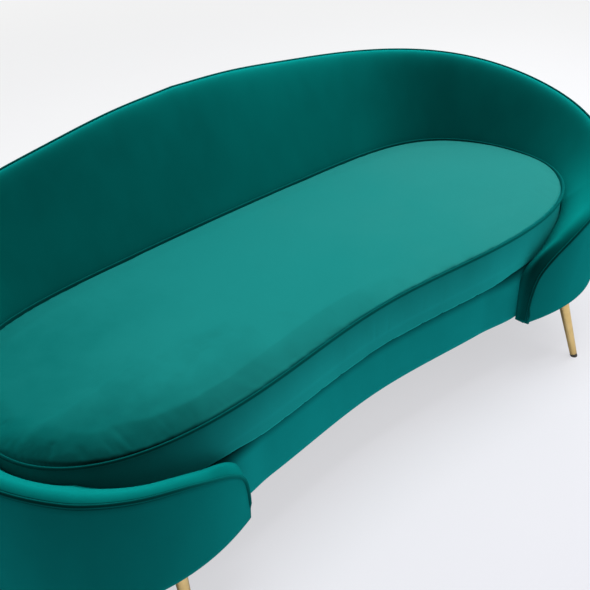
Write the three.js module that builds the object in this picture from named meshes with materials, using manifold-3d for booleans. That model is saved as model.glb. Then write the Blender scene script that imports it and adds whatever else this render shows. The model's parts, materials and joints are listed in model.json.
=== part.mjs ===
// Kidney-shaped sofa whose low padded shell wraps round the back and both ends of one large seat cushion.
// Millimetres, +Z up, floor at z = 0, the open front faces -Y, and x = 0 is the plane of symmetry.

import * as THREE from 'three';
import Module from 'manifold-3d';
import { mergeVertices } from 'three/addons/utils/BufferGeometryUtils.js';

// Seat outline, seen from above
const seatWidth = 1674;
const seatDepth = 611;
// Control points of the right half, from the back centre to the front centre, in shares of the half sizes
const outlineShares = [
  [0, 1], [0.39, 0.97], [0.775, 0.93], [0.965, 0.405],
  [1, -0.56], [0.775, -1.045], [0.415, -1.07], [0, -0.88],
];

// Heights
const legHeight = 176;
const shellBottom = 170;
const deckHeight = 324;
const seatHeight = 433;
const crestHeight = 746;

// Wrapping shell
const mouthWidth = 960;
const shellThickness = 110;
const armEndThickness = 33;
const armTaperLength = 280;
const armTaperShare = 1.3;
const shellLeanShare = 0.06;
const shellClearance = 1;
const flareDrop = 41;
const armSlopeShare = 0.66;
const contactShare = 0.45;
const armEndBulge = 22;
const bulgeLength = 190;
const noseBulgeShare = 0.27;
// The padding's inner edge runs ahead of the crest line here, to close an arm's end on one upright line
const leadLength = 90;
const leadPower = 2.6;
const leadFadePower = 1.2;
const padThickness = 40;
const panelThickness = 6;
const crestPad = 40;
const weltRadius = 4;
const weltSink = 2.4;
const seamGap = 1;
const seamDrop = 12;
// Joins in the padding, as shares of the way from the back centre to the arm's end
const padJoinShares = [-0.5, 0.5];
// Crest line: share of the way from the back centre to the arm's end, and share of the shell's height
const crestShares = [
  [0, 1], [0.12, 0.984], [0.25, 0.942], [0.4, 0.884], [0.55, 0.807], [0.69, 0.695], [0.78, 0.578],
  [0.86, 0.492], [0.905, 0.444], [0.94, 0.385], [0.97, 0.321], [0.99, 0.25], [0.998, 0.16], [1, 0.09],
];
// Handles of the curve that rises from the cushion's side and rolls over to the welt
const rollHandleShare = 0.35;
const flareHandleShare = 0.4;
const rollRise = 12;
// The padded nose that carries the roll down an arm's end
const noseSteps = 3;
const noseStep = 0.6;
const noseFoot = 6;

// Upholstered base
const frontOverhang = 13;
const overhangRamp = 130;
const bandThickness = 8;
const deckPadThickness = 16;
const dustCoverThickness = 1;
const dustCoverLift = 0.3;

// Wooden frame
const boardThickness = 18;
const ringWidth = 60;
const frontRailThickness = 9;
const ribThickness = 18;
const ribGap = 3.5;
const railGap = 0.9;
const railHeight = 18;
const railDepth = 26;
const blockWidth = 45;
const blockDepth = 42;
const ribShares = [0, 0.22, 0.44, 0.67, 0.9];
const blockShares = [0.15, 0.5, 0.84];

// Seat springs
const springCount = 6;
const springPitch = 190;
const springLoops = 8;
const springHalfWidth = 24;
const springEndInset = 20;
const loopSquarenessShare = 0.07;
const wireRadius = 1.9;
const clipWidth = 14;
const clipSheet = 1.2;
const clipSlack = 1.2;

// Seat cushion
const cushionCrown = 19;
const cushionDrawIn = 4;
const cushionBottomRound = 12;
const cushionWeltRadius = 4.5;
const cushionWeltSink = 2.6;
// Rings of the crowned top: share of the way out from the middle, and share of the crown
const crownShares = [[0.97, 0.3], [0.9, 0.6], [0.76, 0.82], [0.5, 0.95]];
const cushionMiddleShares = [0, 0.02];

// Legs
const legTopRadius = 14;
const legFootRadius = 9.5;
const legSplay = 17;
const legTurn = 16;
const frontLegFromEnd = 148;
const backLegFromCentre = 600;
const frontLegInset = 24;
const backLegInset = 45;
const mountRadius = 17;
const mountThickness = 3;
const studRadius = 4;
const studLength = 19;
const glideHeight = 7;
const glideSpigotRadius = 6;
const glideSpigotLength = 16;

const postMargin = 34;
const fitGap = 0.3;
const overrun = 20;

// Counts and colours
const samplesPerSpan = 60;
const shellSteps = 30;
const mouthSteps = 7;
const crowdingShare = 1.4;
const halvings = 24;
const rollSteps = 6;
const weltSides = 6;
const springSteps = 6;
const springSides = 5;
const legSides = 20;

const finishes = {
  velvet: { color: 0x0c7f78, roughness: 0.85, metalness: 0 },
  velvetWelt: { color: 0x0a6d67, roughness: 0.85, metalness: 0 },
  plywood: { color: 0xc9a877, roughness: 0.7, metalness: 0 },
  steel: { color: 0x8f9296, roughness: 0.4, metalness: 1 },
  goldMetal: { color: 0xb4974f, roughness: 0.35, metalness: 1 },
  felt: { color: 0xd9d5cb, roughness: 0.95, metalness: 0 },
  blackCloth: { color: 0x232323, roughness: 0.95, metalness: 0 },
  glide: { color: 0x3a342c, roughness: 0.6, metalness: 0 },
};

const wasm = await Module();
wasm.setup();

const { lerp } = THREE.MathUtils;
const group = new THREE.Group();

// Adds one named piece in its finish
function addPiece(name, geometry, finish) {
  const mesh = new THREE.Mesh(geometry, new THREE.MeshStandardMaterial(finishes[finish]));
  mesh.name = name;
  group.add(mesh);
  return mesh;
}

// Signed volume of an indexed mesh, positive when its faces point out
function signedVolume(points, index) {
  let total = 0;
  for (let i = 0; i < index.length; i += 3) {
    const [a, b, c] = [points[index[i]], points[index[i + 1]], points[index[i + 2]]];
    total += a.dot(b.clone().cross(c)) / 6;
  }
  return total;
}

// Makes a closed geometry from points and triangles, facing out
function closedGeometry(points, index) {
  if (signedVolume(points, index) < 0) index.reverse();
  const geometry = new THREE.BufferGeometry().setFromPoints(points);
  geometry.setIndex(index);
  return geometry;
}

// Joins rows of points into a skin, each row a closed loop of as many points
function skinRows(rows, closed) {
  const index = [];
  const count = rows[0].length;
  const spans = closed ? rows.length : rows.length - 1;
  for (let r = 0; r < spans; r++) {
    const near = r * count;
    const far = ((r + 1) % rows.length) * count;
    for (let i = 0; i < count; i++) {
      const j = (i + 1) % count;
      index.push(near + i, near + j, far + j, near + i, far + j, far + i);
    }
  }
  return index;
}

// Lofts a solid through sections; each is a function of a station that gives [offset, height] pairs
function loftStations(stations, section, closed = false) {
  const flats = stations.map(section);
  const rows = stations.map((station, i) => flats[i].map(([offset, z, ahead]) => at(station, offset, z, ahead)));
  const index = skinRows(rows, closed);
  if (!closed) {
    const count = rows[0].length;
    const last = (rows.length - 1) * count;
    for (const [a, b, c] of capFaces(flats[0])) index.push(b, a, c);
    for (const [a, b, c] of capFaces(flats[flats.length - 1])) index.push(last + a, last + b, last + c);
  }
  return closedGeometry(rows.flat(), index);
}

// Splits a run of stations into lengths that meet at joins with the fit gap between them
function lengthsBetween(stations, joins) {
  const cuts = joins.map((join) => nearestTo(stations.map((station) => station.length), join));
  return [...cuts, stations.length - 1].map((end, i) => {
    const part = stations.slice(i > 0 ? cuts[i - 1] : 0, end + 1);
    if (i > 0) part[0] = between(part[0], part[1], fitGap / (part[1].length - part[0].length));
    return part;
  });
}

// Triangles of an end face whose winding follows the order of its own points
function capFaces(flat) {
  const contour = flat.map(([x, y]) => new THREE.Vector2(x, y));
  const faces = THREE.ShapeUtils.triangulateShape(contour, []);
  const clockwise = THREE.ShapeUtils.isClockWise(contour);
  return faces.map(([a, b, c]) => {
    const [p, q, r] = [contour[a], contour[b], contour[c]];
    const turn = (q.x - p.x) * (r.y - p.y) - (q.y - p.y) * (r.x - p.x);
    return turn < 0 === clockwise ? [a, b, c] : [a, c, b];
  });
}

// Turns a closed geometry into a solid that can be cut
function solid(geometry) {
  const plain = geometry.clone();
  plain.deleteAttribute('normal');
  plain.deleteAttribute('uv');
  const merged = mergeVertices(plain);
  const vertProperties = new Float32Array(merged.attributes.position.array);
  const triVerts = new Uint32Array(merged.index.array);
  return new wasm.Manifold(new wasm.Mesh({ numProp: 3, vertProperties, triVerts }));
}

// Turns a solid back into a geometry
function fromSolid(body) {
  const { vertProperties, triVerts } = body.getMesh();
  const geometry = new THREE.BufferGeometry();
  geometry.setAttribute('position', new THREE.BufferAttribute(new Float32Array(vertProperties), 3));
  geometry.setIndex(Array.from(triVerts));
  return geometry;
}

function cut(geometry, ...tools) {
  return fromSolid(tools.reduce((body, tool) => body.subtract(solid(tool)), solid(geometry)));
}

// Index of the value nearest to a target
function nearestTo(values, target) {
  const misses = values.map((value) => Math.abs(value - target));
  return misses.indexOf(Math.min(...misses));
}

// Point of a uniform cubic B-spline on one span of a closed list of control points
function splinePoint(controls, span, t) {
  const weights = [
    (1 - t) ** 3 / 6,
    (3 * t ** 3 - 6 * t ** 2 + 4) / 6,
    (-3 * t ** 3 + 3 * t ** 2 + 3 * t + 1) / 6,
    t ** 3 / 6,
  ];
  const point = new THREE.Vector2();
  weights.forEach((weight, i) => {
    const control = controls[(span + i - 1 + controls.length) % controls.length];
    point.addScaledVector(control, weight);
  });
  return point;
}

// Right half of the seat outline as fine points, from the back centre to the front centre
function halfOutline() {
  const right = outlineShares.map(([x, y]) => new THREE.Vector2(x, y));
  const left = right.slice(1, -1).reverse().map((p) => new THREE.Vector2(-p.x, p.y));
  const controls = [...right, ...left];
  const points = [];
  for (let span = 0; span < right.length - 1; span++) {
    for (let i = 0; i < samplesPerSpan; i++) points.push(splinePoint(controls, span, i / samplesPerSpan));
  }
  points.push(splinePoint(controls, right.length - 1, 0));
  const widest = Math.max(...points.map((p) => p.x));
  const rear = Math.max(...points.map((p) => p.y));
  const front = Math.min(...points.map((p) => p.y));
  const scale = new THREE.Vector2(seatWidth / 2 / widest, seatDepth / (rear - front));
  return points.map((p) => p.multiply(scale));
}

const outline = halfOutline();
const lengths = [0];
for (let i = 1; i < outline.length; i++) {
  lengths.push(lengths[i - 1] + outline[i].distanceTo(outline[i - 1]));
}
const halfLength = lengths[lengths.length - 1];

// Length along the outline where it passes the edge of the open front
function mouthLength() {
  const edge = mouthWidth / 2;
  const i = outline.findIndex((p, k) => k > 0 && p.y < 0 && p.x < edge && outline[k - 1].x >= edge);
  const share = (outline[i - 1].x - edge) / (outline[i - 1].x - outline[i].x);
  return lerp(lengths[i - 1], lengths[i], share);
}

const wrapLength = mouthLength();

// Place and outward normal of the outline at a length from the back centre
function outlineAt(length) {
  const reach = Math.min(length, halfLength);
  const found = lengths.findIndex((value) => value >= reach);
  const i = Math.max(found, 1);
  const share = (reach - lengths[i - 1]) / (lengths[i] - lengths[i - 1]);
  const place = outline[i - 1].clone().lerp(outline[i], share);
  const before = outline[Math.max(i - 2, 0)];
  const after = outline[Math.min(i + 1, outline.length - 1)];
  const along = after.clone().sub(before).normalize();
  const onPlane = reach <= 0 || reach >= halfLength;
  const normal = onPlane ? new THREE.Vector2(0, Math.sign(place.y)) : new THREE.Vector2(-along.y, along.x);
  return { place, normal };
}

// Shell thickness at the bottom, which thins towards each arm's end
function fullThickness(length) {
  const share = Math.min(1, Math.max(0, wrapLength - length) / armTaperLength);
  return lerp(armEndThickness, shellThickness, 1 - (1 - share) ** armTaperShare);
}

// How far the base front is set back from the cushion, nothing under the shell
function setBack(length) {
  return frontOverhang * THREE.MathUtils.smoothstep(length, wrapLength, wrapLength + overhangRamp);
}

// Share of the full thickness, less where the crest line nears the shell's bottom
const layerShare = (full, crest) => Math.min(full / shellThickness, (crest - shellBottom) / (2 * crestPad));

// A place on the outline; level and steep give the crest line's direction, end points to the nearer arm end
function makeStation(length, crest, level = 1, steep = 0) {
  const { place, normal } = outlineAt(length);
  const full = fullThickness(length);
  return {
    length, crest, level, steep, x: place.x, y: place.y, nx: normal.x, ny: normal.y, end: 1,
    full, share: layerShare(full, crest), back: setBack(length), cavity: length < postLength + fitGap ? 1 : 0,
  };
}

// The board and the frame under the shell stop a little past the front legs
const postLength = wrapLength - frontLegFromEnd + postMargin;
const flareHeight = seatHeight - flareDrop;

// The crest line as a curve of length along the outline and height
const crestCurve = new THREE.CatmullRomCurve3(crestShares.map(([along, up]) => (
  new THREE.Vector3(along * wrapLength, lerp(shellBottom, crestHeight, up), 0))));

// Share of the crest line's own length where it passes a length along the outline
function crestShareAt(length) {
  let [low, high] = [0, 1];
  for (let i = 0; i < halvings; i++) {
    const middle = (low + high) / 2;
    if (crestCurve.getPointAt(middle).x < length) low = middle;
    else high = middle;
  }
  return low;
}

// Shares of the crest line at the shell's stations, the nearest one moved to where the board ends
function shellShares() {
  const shares = Array.from({ length: shellSteps + 1 }, (_, i) => 1 - (1 - i / shellSteps) ** crowdingShare);
  const post = crestShareAt(postLength);
  shares[nearestTo(shares, post)] = post;
  return shares;
}

function rightStations() {
  const stations = [];
  for (const share of shellShares()) {
    const { x, y } = crestCurve.getPointAt(share);
    const direction = crestCurve.getTangentAt(share);
    stations.push(makeStation(Math.min(x, wrapLength), y, direction.x, -direction.y));
  }
  for (let i = 1; i <= mouthSteps; i++) {
    stations.push(makeStation(lerp(wrapLength, halfLength, i / mouthSteps), shellBottom));
  }
  return stations;
}

const mirrored = (station) => (
  { ...station, length: -station.length, x: -station.x, nx: -station.nx, end: -station.end });

// Stations that carry the padding on from the crest line's end down to the shell's bottom
function noseStations() {
  const top = right[shellSteps].crest;
  return Array.from({ length: noseSteps }, (_, i) => {
    const crest = lerp(top, shellBottom + noseFoot, (i + 1) / noseSteps);
    return makeStation(wrapLength + noseStep * (i + 1), crest, 0, 1);
  });
}

const right = rightStations();
const left = right.map(mirrored);
const shellStations = [...left.slice(1, shellSteps + 1).reverse(), ...right.slice(0, shellSteps + 1)];
const nose = noseStations();
const padStations = [...nose.map(mirrored).reverse(), ...shellStations, ...nose];
const loopStations = [...right, ...left.slice(1, -1).reverse()];
const mouthStations = [...right.slice(shellSteps), ...left.slice(shellSteps, -1).reverse()];

// Station part of the way between two others, so that a piece there lies flat against the lofted ones
function between(a, b, share) {
  return Object.fromEntries(Object.keys(a).map((key) => [key, lerp(a[key], b[key], share)]));
}

// Point at an offset from a station and a height, moved ahead towards the nearer arm end
function at(station, offset, z, ahead = 0) {
  const { x, y, nx, ny, end } = station;
  return new THREE.Vector3(x + nx * offset + end * ny * ahead, y + ny * offset - end * nx * ahead, z);
}

// Offsets of the shell's layers at one station
const faceOffset = (station, z) => station.full + shellLeanShare * (z - shellBottom);
const valleyOffset = (station) => faceOffset(station, station.crest) - weltSink;
const panelInside = (station, z) => faceOffset(station, z) - panelThickness - fitGap;
const railTop = (station) => station.crest - crestPad * station.share;
const railInside = (station) => panelInside(station, railTop(station)) - railDepth;

// Height where the padding leaves the cushion's side
function contactHeight(station) {
  const sloped = station.crest - armSlopeShare * faceOffset(station, station.crest);
  const lowest = lerp(shellBottom, station.crest, contactShare);
  return Math.min(flareHeight, Math.max(sloped, lowest));
}

// How far the padding swells over its roll, most at an arm's end
function bulgeAt(station) {
  const start = wrapLength - bulgeLength;
  return armEndBulge * THREE.MathUtils.smoothstep(Math.abs(station.length), start, wrapLength);
}

// How far ahead of its station the padding's inner edge lies near an arm's end
function leadAt(station) {
  const left = Math.max(0, wrapLength - Math.abs(station.length));
  return left < leadLength ? left - leadLength * (left / leadLength) ** leadPower : 0;
}

// Curve from the cushion's side over the crest to the welt's seat
function rollPoints(station) {
  const low = new THREE.Vector2(shellClearance, contactHeight(station));
  const high = new THREE.Vector2(valleyOffset(station), station.crest + seamGap);
  const reach = high.clone().sub(low);
  const rise = rollRise * station.share;
  const curve = new THREE.CubicBezierCurve(
    low,
    new THREE.Vector2(low.x + reach.x * rollHandleShare, low.y + reach.y * flareHandleShare),
    new THREE.Vector2(high.x - reach.x * rollHandleShare, high.y + rise),
    high,
  );
  return curve.getPoints(rollSteps).map((p, i) => {
    const swell = bulgeAt(station) * Math.sin(Math.PI * i / rollSteps);
    const lead = leadAt(station) * (1 - i / rollSteps) ** leadFadePower;
    return [p.x, p.y + swell * station.level, lead + noseBulgeShare * swell * station.steep];
  });
}

// Padding and inside cover: cushion side, roll over the top rail, and back down behind
function padSection(station) {
  const top = railTop(station);
  const contact = contactHeight(station);
  const rear = (z) => lerp(panelInside(station, z), shellClearance + padThickness, station.cavity);
  const railSide = lerp(panelInside(station, top), railInside(station), station.cavity) - fitGap;
  const shoulder = station.crest - seamDrop * station.share;
  return [
    [shellClearance, shellBottom, leadAt(station)],
    ...rollPoints(station),
    [panelInside(station, shoulder), shoulder],
    [panelInside(station, top + fitGap), top + fitGap],
    [railSide, top + fitGap],
    [rear(contact), contact],
    [rear(shellBottom), shellBottom],
  ];
}

function panelSection(station) {
  const shoulder = station.crest - seamDrop * station.share;
  return [
    [faceOffset(station, shellBottom), shellBottom],
    [faceOffset(station, shoulder), shoulder],
    [valleyOffset(station), station.crest - seamGap],
    [faceOffset(station, shoulder) - panelThickness, shoulder],
    [faceOffset(station, shellBottom) - panelThickness, shellBottom],
  ];
}

const boardBottom = legHeight + dustCoverLift + dustCoverThickness + fitGap;
const boardTop = boardBottom + boardThickness;
const clipHeight = 2 * (clipSheet + fitGap + wireRadius);
const deckPadTop = deckHeight - fitGap;
const deckPadBottom = deckPadTop - deckPadThickness;
const ringTop = deckPadBottom - clipHeight - 2 * fitGap;
const ringBottom = ringTop - boardThickness;

function ribSection(station) {
  const contact = contactHeight(station);
  const low = boardTop + fitGap;
  const high = railTop(station) - railHeight - railGap;
  const rear = shellClearance + padThickness + ribGap;
  const share = (high - contact) / (railTop(station) - contact);
  return [
    [rear, low],
    [panelInside(station, low) - ribGap, low],
    [panelInside(station, high) - ribGap, high],
    [lerp(rear, railInside(station) + ribGap, share), high],
    [rear, contact],
  ];
}

function railSection(station) {
  const top = railTop(station);
  const low = top - railHeight;
  const inside = railInside(station) + railGap;
  return [
    [inside, low],
    [panelInside(station, low) - ribGap, low],
    [panelInside(station, top) - ribGap, top],
    [inside, top],
  ];
}

// Middle of the shell segment nearest to a length, with stations half a rib either side of it
function ribStations(length) {
  const steps = shellStations.slice(1).map((b, i) => ({ a: shellStations[i], b }));
  const middles = steps.map(({ a, b }) => (a.length + b.length) / 2);
  const { a, b } = steps[nearestTo(middles, length)];
  const half = ribThickness / 2 / Math.hypot(b.x - a.x, b.y - a.y);
  return [between(a, b, 1 / 2 - half), between(a, b, 1 / 2 + half)];
}

function centreRibStations() {
  const middle = shellStations[shellSteps];
  const next = shellStations[shellSteps + 1];
  const half = between(middle, next, ribThickness / 2 / (next.x - middle.x));
  return [mirrored(half), half];
}

const sides = [['left', -1], ['right', 1]];

function addRibs() {
  addPiece('back_rib_centre', loftStations(centreRibStations(), ribSection), 'plywood');
  ribShares.slice(1).forEach((share, i) => {
    for (const [side, sign] of sides) {
      const stations = ribStations(sign * share * wrapLength);
      addPiece(`back_rib_${side}_${i + 1}`, loftStations(stations, ribSection), 'plywood');
    }
  });
}

function addTopRail() {
  const reach = ribShares[ribShares.length - 1] * wrapLength;
  const first = ribStations(-reach)[0];
  const last = ribStations(reach)[1];
  const inside = shellStations.filter((s) => s.length > first.length && s.length < last.length);
  addPiece('top_rail', loftStations([first, ...inside, last], railSection), 'plywood');
}

// Flat board between two heights with a closed outline and holes, both as lists of points
function board(points, holes, low, high) {
  const shape = new THREE.Shape(points.map((p) => new THREE.Vector2(p.x, p.y)));
  holes.forEach((hole) => shape.holes.push(new THREE.Path(hole.map((p) => new THREE.Vector2(p.x, p.y)))));
  const geometry = new THREE.ExtrudeGeometry(shape, { depth: high - low, bevelEnabled: false });
  return geometry.translate(0, 0, low);
}

const loopAt = (offset) => loopStations.map((station) => at(station, offset(station), 0));
const bandOutside = (station) => -station.back;
const bandInside = (station) => -station.back - bandThickness;
const frameEdge = (station) => bandInside(station) - 2 * fitGap;
const boardEdge = (station) => (
  station.cavity === 1 ? panelInside(station, boardBottom) - fitGap : frameEdge(station));

// Legs: name, side, length along the outline, inset from the shell's outer face, and front or back
const legPlaces = sides.flatMap(([side, sign]) => [
  [`front_${side}`, sign, wrapLength - frontLegFromEnd, frontLegInset, -1],
  [`back_${side}`, sign, backLegFromCentre, backLegInset, 1],
]);

function legTop([, sign, length, inset]) {
  const station = makeStation(length, shellBottom);
  const place = at(station, faceOffset(station, shellBottom) - inset, 0);
  return new THREE.Vector2(sign * place.x, place.y);
}

function circle(centre, radius) {
  return new THREE.Path().absarc(centre.x, centre.y, radius, 0, 2 * Math.PI).getPoints(legSides).slice(1);
}

function addBoards() {
  const edge = loopAt(boardEdge);
  const studHoles = legPlaces.map((place) => circle(legTop(place), studRadius + 2 * fitGap));
  const hem = loopAt((station) => boardEdge(station) - fitGap);
  const coverBottom = legHeight + dustCoverLift;
  addPiece('dust_cover', board(hem, studHoles, coverBottom, coverBottom + dustCoverThickness), 'blackCloth');
  addPiece('base_board', board(edge, studHoles, boardBottom, boardTop), 'plywood');
  addPiece('deck_pad', board(loopAt(frameEdge), [], deckPadBottom, deckPadTop), 'felt');
}

// Upright or flat strip that follows an edge inwards by its width, between two heights
function strip(edge, width, low, high) {
  return (station) => {
    const outside = edge(station);
    return [[outside - width, low], [outside, low], [outside, high], [outside - width, high]];
  };
}

function addSeatFrame() {
  const ring = strip(frameEdge, ringWidth, ringBottom, ringTop);
  addPiece('seat_ring', loftStations(loopStations, ring, true), 'plywood');
  const rail = strip(frameEdge, frontRailThickness, boardTop + fitGap, ringBottom - fitGap);
  addPiece('front_rail', loftStations(mouthStations, rail), 'plywood');
}

function addBlocks() {
  const low = boardTop + fitGap;
  const high = ringBottom - fitGap;
  blockShares.forEach((share, i) => {
    for (const [side, sign] of sides) {
      const station = makeStation(share * halfLength, shellBottom);
      const inset = frameEdge(station) - frontRailThickness - 2 * fitGap - blockDepth / 2;
      const place = at(station, inset, (low + high) / 2);
      const geometry = new THREE.BoxGeometry(blockDepth, blockWidth, high - low);
      const mesh = addPiece(`seat_block_${side}_${i + 1}`, geometry, 'plywood');
      mesh.position.set(sign * place.x, place.y, place.z);
      mesh.rotation.z = Math.atan2(station.ny, sign * station.nx);
    }
  });
}

// Padding and cover of the base front, cut clear of the board that carries the shell
function addBand(boardTool) {
  const band = strip(bandOutside, bandThickness, legHeight, deckPadTop);
  addPiece('seat_band', cut(loftStations(loopStations, band, true), boardTool), 'velvet');
}

// Piping: a round cord whose rings stay square to its run
function cordRows(centres, outwards, radius) {
  return centres.map((centre, i) => {
    const before = centres[Math.max(i - 1, 0)];
    const after = centres[Math.min(i + 1, centres.length - 1)];
    const run = after.clone().sub(before).normalize();
    const out = outwards[i].clone().addScaledVector(run, -outwards[i].dot(run)).normalize();
    const across = run.clone().cross(out);
    return Array.from({ length: weltSides }, (_, k) => {
      const angle = 2 * Math.PI * (k + 1 / 2) / weltSides;
      return centre.clone()
        .addScaledVector(out, radius * Math.cos(angle))
        .addScaledVector(across, radius * Math.sin(angle));
    });
  });
}

function cordGeometry(rows) {
  const index = skinRows(rows, false);
  const last = (rows.length - 1) * weltSides;
  for (let k = 1; k < weltSides - 1; k++) {
    index.push(0, k + 1, k, last, last + k, last + k + 1);
  }
  return closedGeometry(rows.flat(), index);
}

// The welt lies in the valley along the crest, and on the outside panel where it turns down an arm's end
function addShellWelt() {
  const reach = weltRadius + 2 * fitGap;
  const last = shellStations.length - 1;
  const foot = (station) => {
    const z = shellBottom + weltRadius;
    return { station, centre: at(station, faceOffset(station, z) + reach, z) };
  };
  const crest = shellStations.slice(1, -1).map((station) => {
    const offset = valleyOffset(station) + reach + weltSink * station.steep;
    return { station, centre: at(station, offset, station.crest) };
  });
  const leftFoot = foot(between(shellStations[0], shellStations[1], 1 / 2));
  const rightFoot = foot(between(shellStations[last], shellStations[last - 1], 1 / 2));
  const run = [leftFoot, ...crest, rightFoot];
  const outwards = run.map(({ station }) => new THREE.Vector3(station.nx, station.ny, 0));
  const rows = cordRows(run.map(({ centre }) => centre), outwards, weltRadius);
  addPiece('shell_welt', cordGeometry(rows), 'velvetWelt');
}

function addShell(boardTool) {
  const joins = padJoinShares.map((share) => share * wrapLength);
  const [padLeft, padBack, padRight] = lengthsBetween(padStations, joins);
  for (const [side, stations] of [['left', padLeft], ['back', padBack], ['right', padRight]]) {
    addPiece(`shell_padding_${side}`, cut(loftStations(stations, padSection), boardTool), 'velvet');
  }
  const [panelLeft, panelRight] = lengthsBetween(shellStations, [0]);
  addPiece('shell_outside_left', loftStations(panelLeft, panelSection), 'velvet');
  addPiece('shell_outside_right', loftStations(panelRight, panelSection), 'velvet');
  addShellWelt();
}

// The board grown by the fit gap and carried down through the shell's bottom edge
function boardCutter() {
  const edge = loopAt((station) => boardEdge(station) + fitGap);
  return board(edge, [], shellBottom - overrun, boardTop + fitGap);
}

const cushionBottom = deckHeight;

// Crowned cushion with drawn-in boxing and a seat for its welt round the top edge
function addCushion() {
  const sideRings = [
    [-cushionBottomRound, cushionBottom],
    [-cushionBottomRound / 4, cushionBottom + cushionBottomRound / 3],
    [0, cushionBottom + cushionBottomRound],
    [-cushionDrawIn, (cushionBottom + seatHeight) / 2],
    [-cushionWeltSink, seatHeight - seamGap],
    [-cushionWeltSink, seatHeight + seamGap],
  ];
  const rows = sideRings.map(([offset, z]) => loopStations.map((station) => at(station, offset, z)));
  for (const [out, up] of crownShares) {
    const z = seatHeight + seamGap + cushionCrown * up;
    rows.push(rows[sideRings.length - 1].map((p) => new THREE.Vector3(p.x * out, middleY(p, out), z)));
  }
  const count = loopStations.length;
  const index = skinRows(rows, false);
  const points = rows.flat();
  const middle = cushionMiddleShares[1] * seatDepth;
  const bottom = points.push(new THREE.Vector3(0, middle, cushionBottom)) - 1;
  const top = points.push(new THREE.Vector3(0, middle, seatHeight + seamGap + cushionCrown)) - 1;
  const last = (rows.length - 1) * count;
  for (let i = 0; i < count; i++) {
    const j = (i + 1) % count;
    index.push(i, bottom, j, last + i, last + j, top);
  }
  addPiece('seat_cushion', closedGeometry(points, index), 'velvet');
}

function middleY(point, share) {
  return lerp(cushionMiddleShares[1] * seatDepth, point.y, share);
}

function addCushionWelt() {
  const offset = cushionWeltRadius + fitGap - cushionWeltSink;
  const rows = loopStations.map((station) => Array.from({ length: weltSides }, (_, k) => {
    const angle = 2 * Math.PI * (k + 1 / 2) / weltSides;
    const out = offset + cushionWeltRadius * Math.cos(angle);
    return at(station, out, seatHeight + cushionWeltRadius * Math.sin(angle));
  }));
  const geometry = closedGeometry(rows.flat(), skinRows(rows, true));
  addPiece('cushion_welt', geometry, 'velvetWelt');
}

// Points of the ring's inner edge nearest a given x, on the front or the back
function ringEdgeY(x, front) {
  const edge = loopAt((station) => frameEdge(station) - ringWidth);
  const ys = [];
  for (let i = 0; i < edge.length; i++) {
    const a = edge[i];
    const b = edge[(i + 1) % edge.length];
    if ((a.x - x) * (b.x - x) <= 0 && a.x !== b.x) ys.push(lerp(a.y, b.y, (x - a.x) / (b.x - a.x)));
  }
  return front ? Math.min(...ys) : Math.max(...ys);
}

// One zigzag seat spring of round wire, its first and last bars held by the clips
function springPoints(x, front, back, z) {
  const turns = 2 * Math.PI * (springLoops + 1 / 2);
  const steps = Math.round(springSteps * (springLoops + 1 / 2));
  return Array.from({ length: steps + 1 }, (_, i) => {
    const angle = turns * i / steps;
    const swing = angle - Math.PI / 2;
    const along = (angle - Math.PI / 2) / (2 * Math.PI) - loopSquarenessShare * Math.sin(2 * swing);
    const y = front + (back - front) * along / springLoops;
    return new THREE.Vector3(x + springHalfWidth * Math.sin(swing), y, z);
  });
}

function addSprings() {
  const z = ringTop + fitGap + clipSheet + fitGap + wireRadius;
  for (let i = 0; i < springCount; i++) {
    const x = springPitch * (i - (springCount - 1) / 2);
    const front = ringEdgeY(x, true) - springEndInset;
    const back = ringEdgeY(x, false) + springEndInset;
    const points = springPoints(x, front, back, z);
    addPiece(`seat_spring_${i + 1}`, wireGeometry(points), 'steel');
    addPiece(`spring_clip_front_${i + 1}`, clipGeometry(x, front, -1), 'steel');
    addPiece(`spring_clip_back_${i + 1}`, clipGeometry(x, back, 1), 'steel');
  }
}

// Round wire that lies level, its rings upright and square to its run
function wireGeometry(points) {
  const rows = points.map((point, i) => {
    const before = points[Math.max(i - 1, 0)];
    const after = points[Math.min(i + 1, points.length - 1)];
    const run = after.clone().sub(before).normalize();
    const out = new THREE.Vector3(run.y, -run.x, 0);
    return Array.from({ length: springSides }, (_, k) => {
      const angle = 2 * Math.PI * k / springSides;
      const ring = point.clone().addScaledVector(out, wireRadius * Math.cos(angle));
      ring.z += wireRadius * Math.sin(angle);
      return ring;
    });
  });
  const index = skinRows(rows, false);
  const last = (rows.length - 1) * springSides;
  for (let k = 1; k < springSides - 1; k++) index.push(0, k + 1, k, last, last + k, last + k + 1);
  return closedGeometry(rows.flat(), index);
}

// Sheet clip folded round the spring's end bar, its open side towards the middle of the seat
function clipGeometry(x, y, side) {
  const low = ringTop + fitGap;
  const inner = wireRadius + clipSlack;
  const outer = inner + clipSheet;
  const high = low + clipHeight;
  const profile = [
    [outer, low], [-outer, low], [-outer, high], [outer, high],
    [outer, high - clipSheet], [-inner, high - clipSheet], [-inner, low + clipSheet], [outer, low + clipSheet],
  ];
  const shape = new THREE.Shape(profile.map(([along, z]) => new THREE.Vector2(along, z)));
  const geometry = new THREE.ExtrudeGeometry(shape, { depth: clipWidth, bevelEnabled: false });
  geometry.translate(0, 0, -clipWidth / 2);
  geometry.rotateX(Math.PI / 2);
  geometry.rotateZ(side > 0 ? -Math.PI / 2 : Math.PI / 2);
  return geometry.translate(x, y, 0);
}

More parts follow.
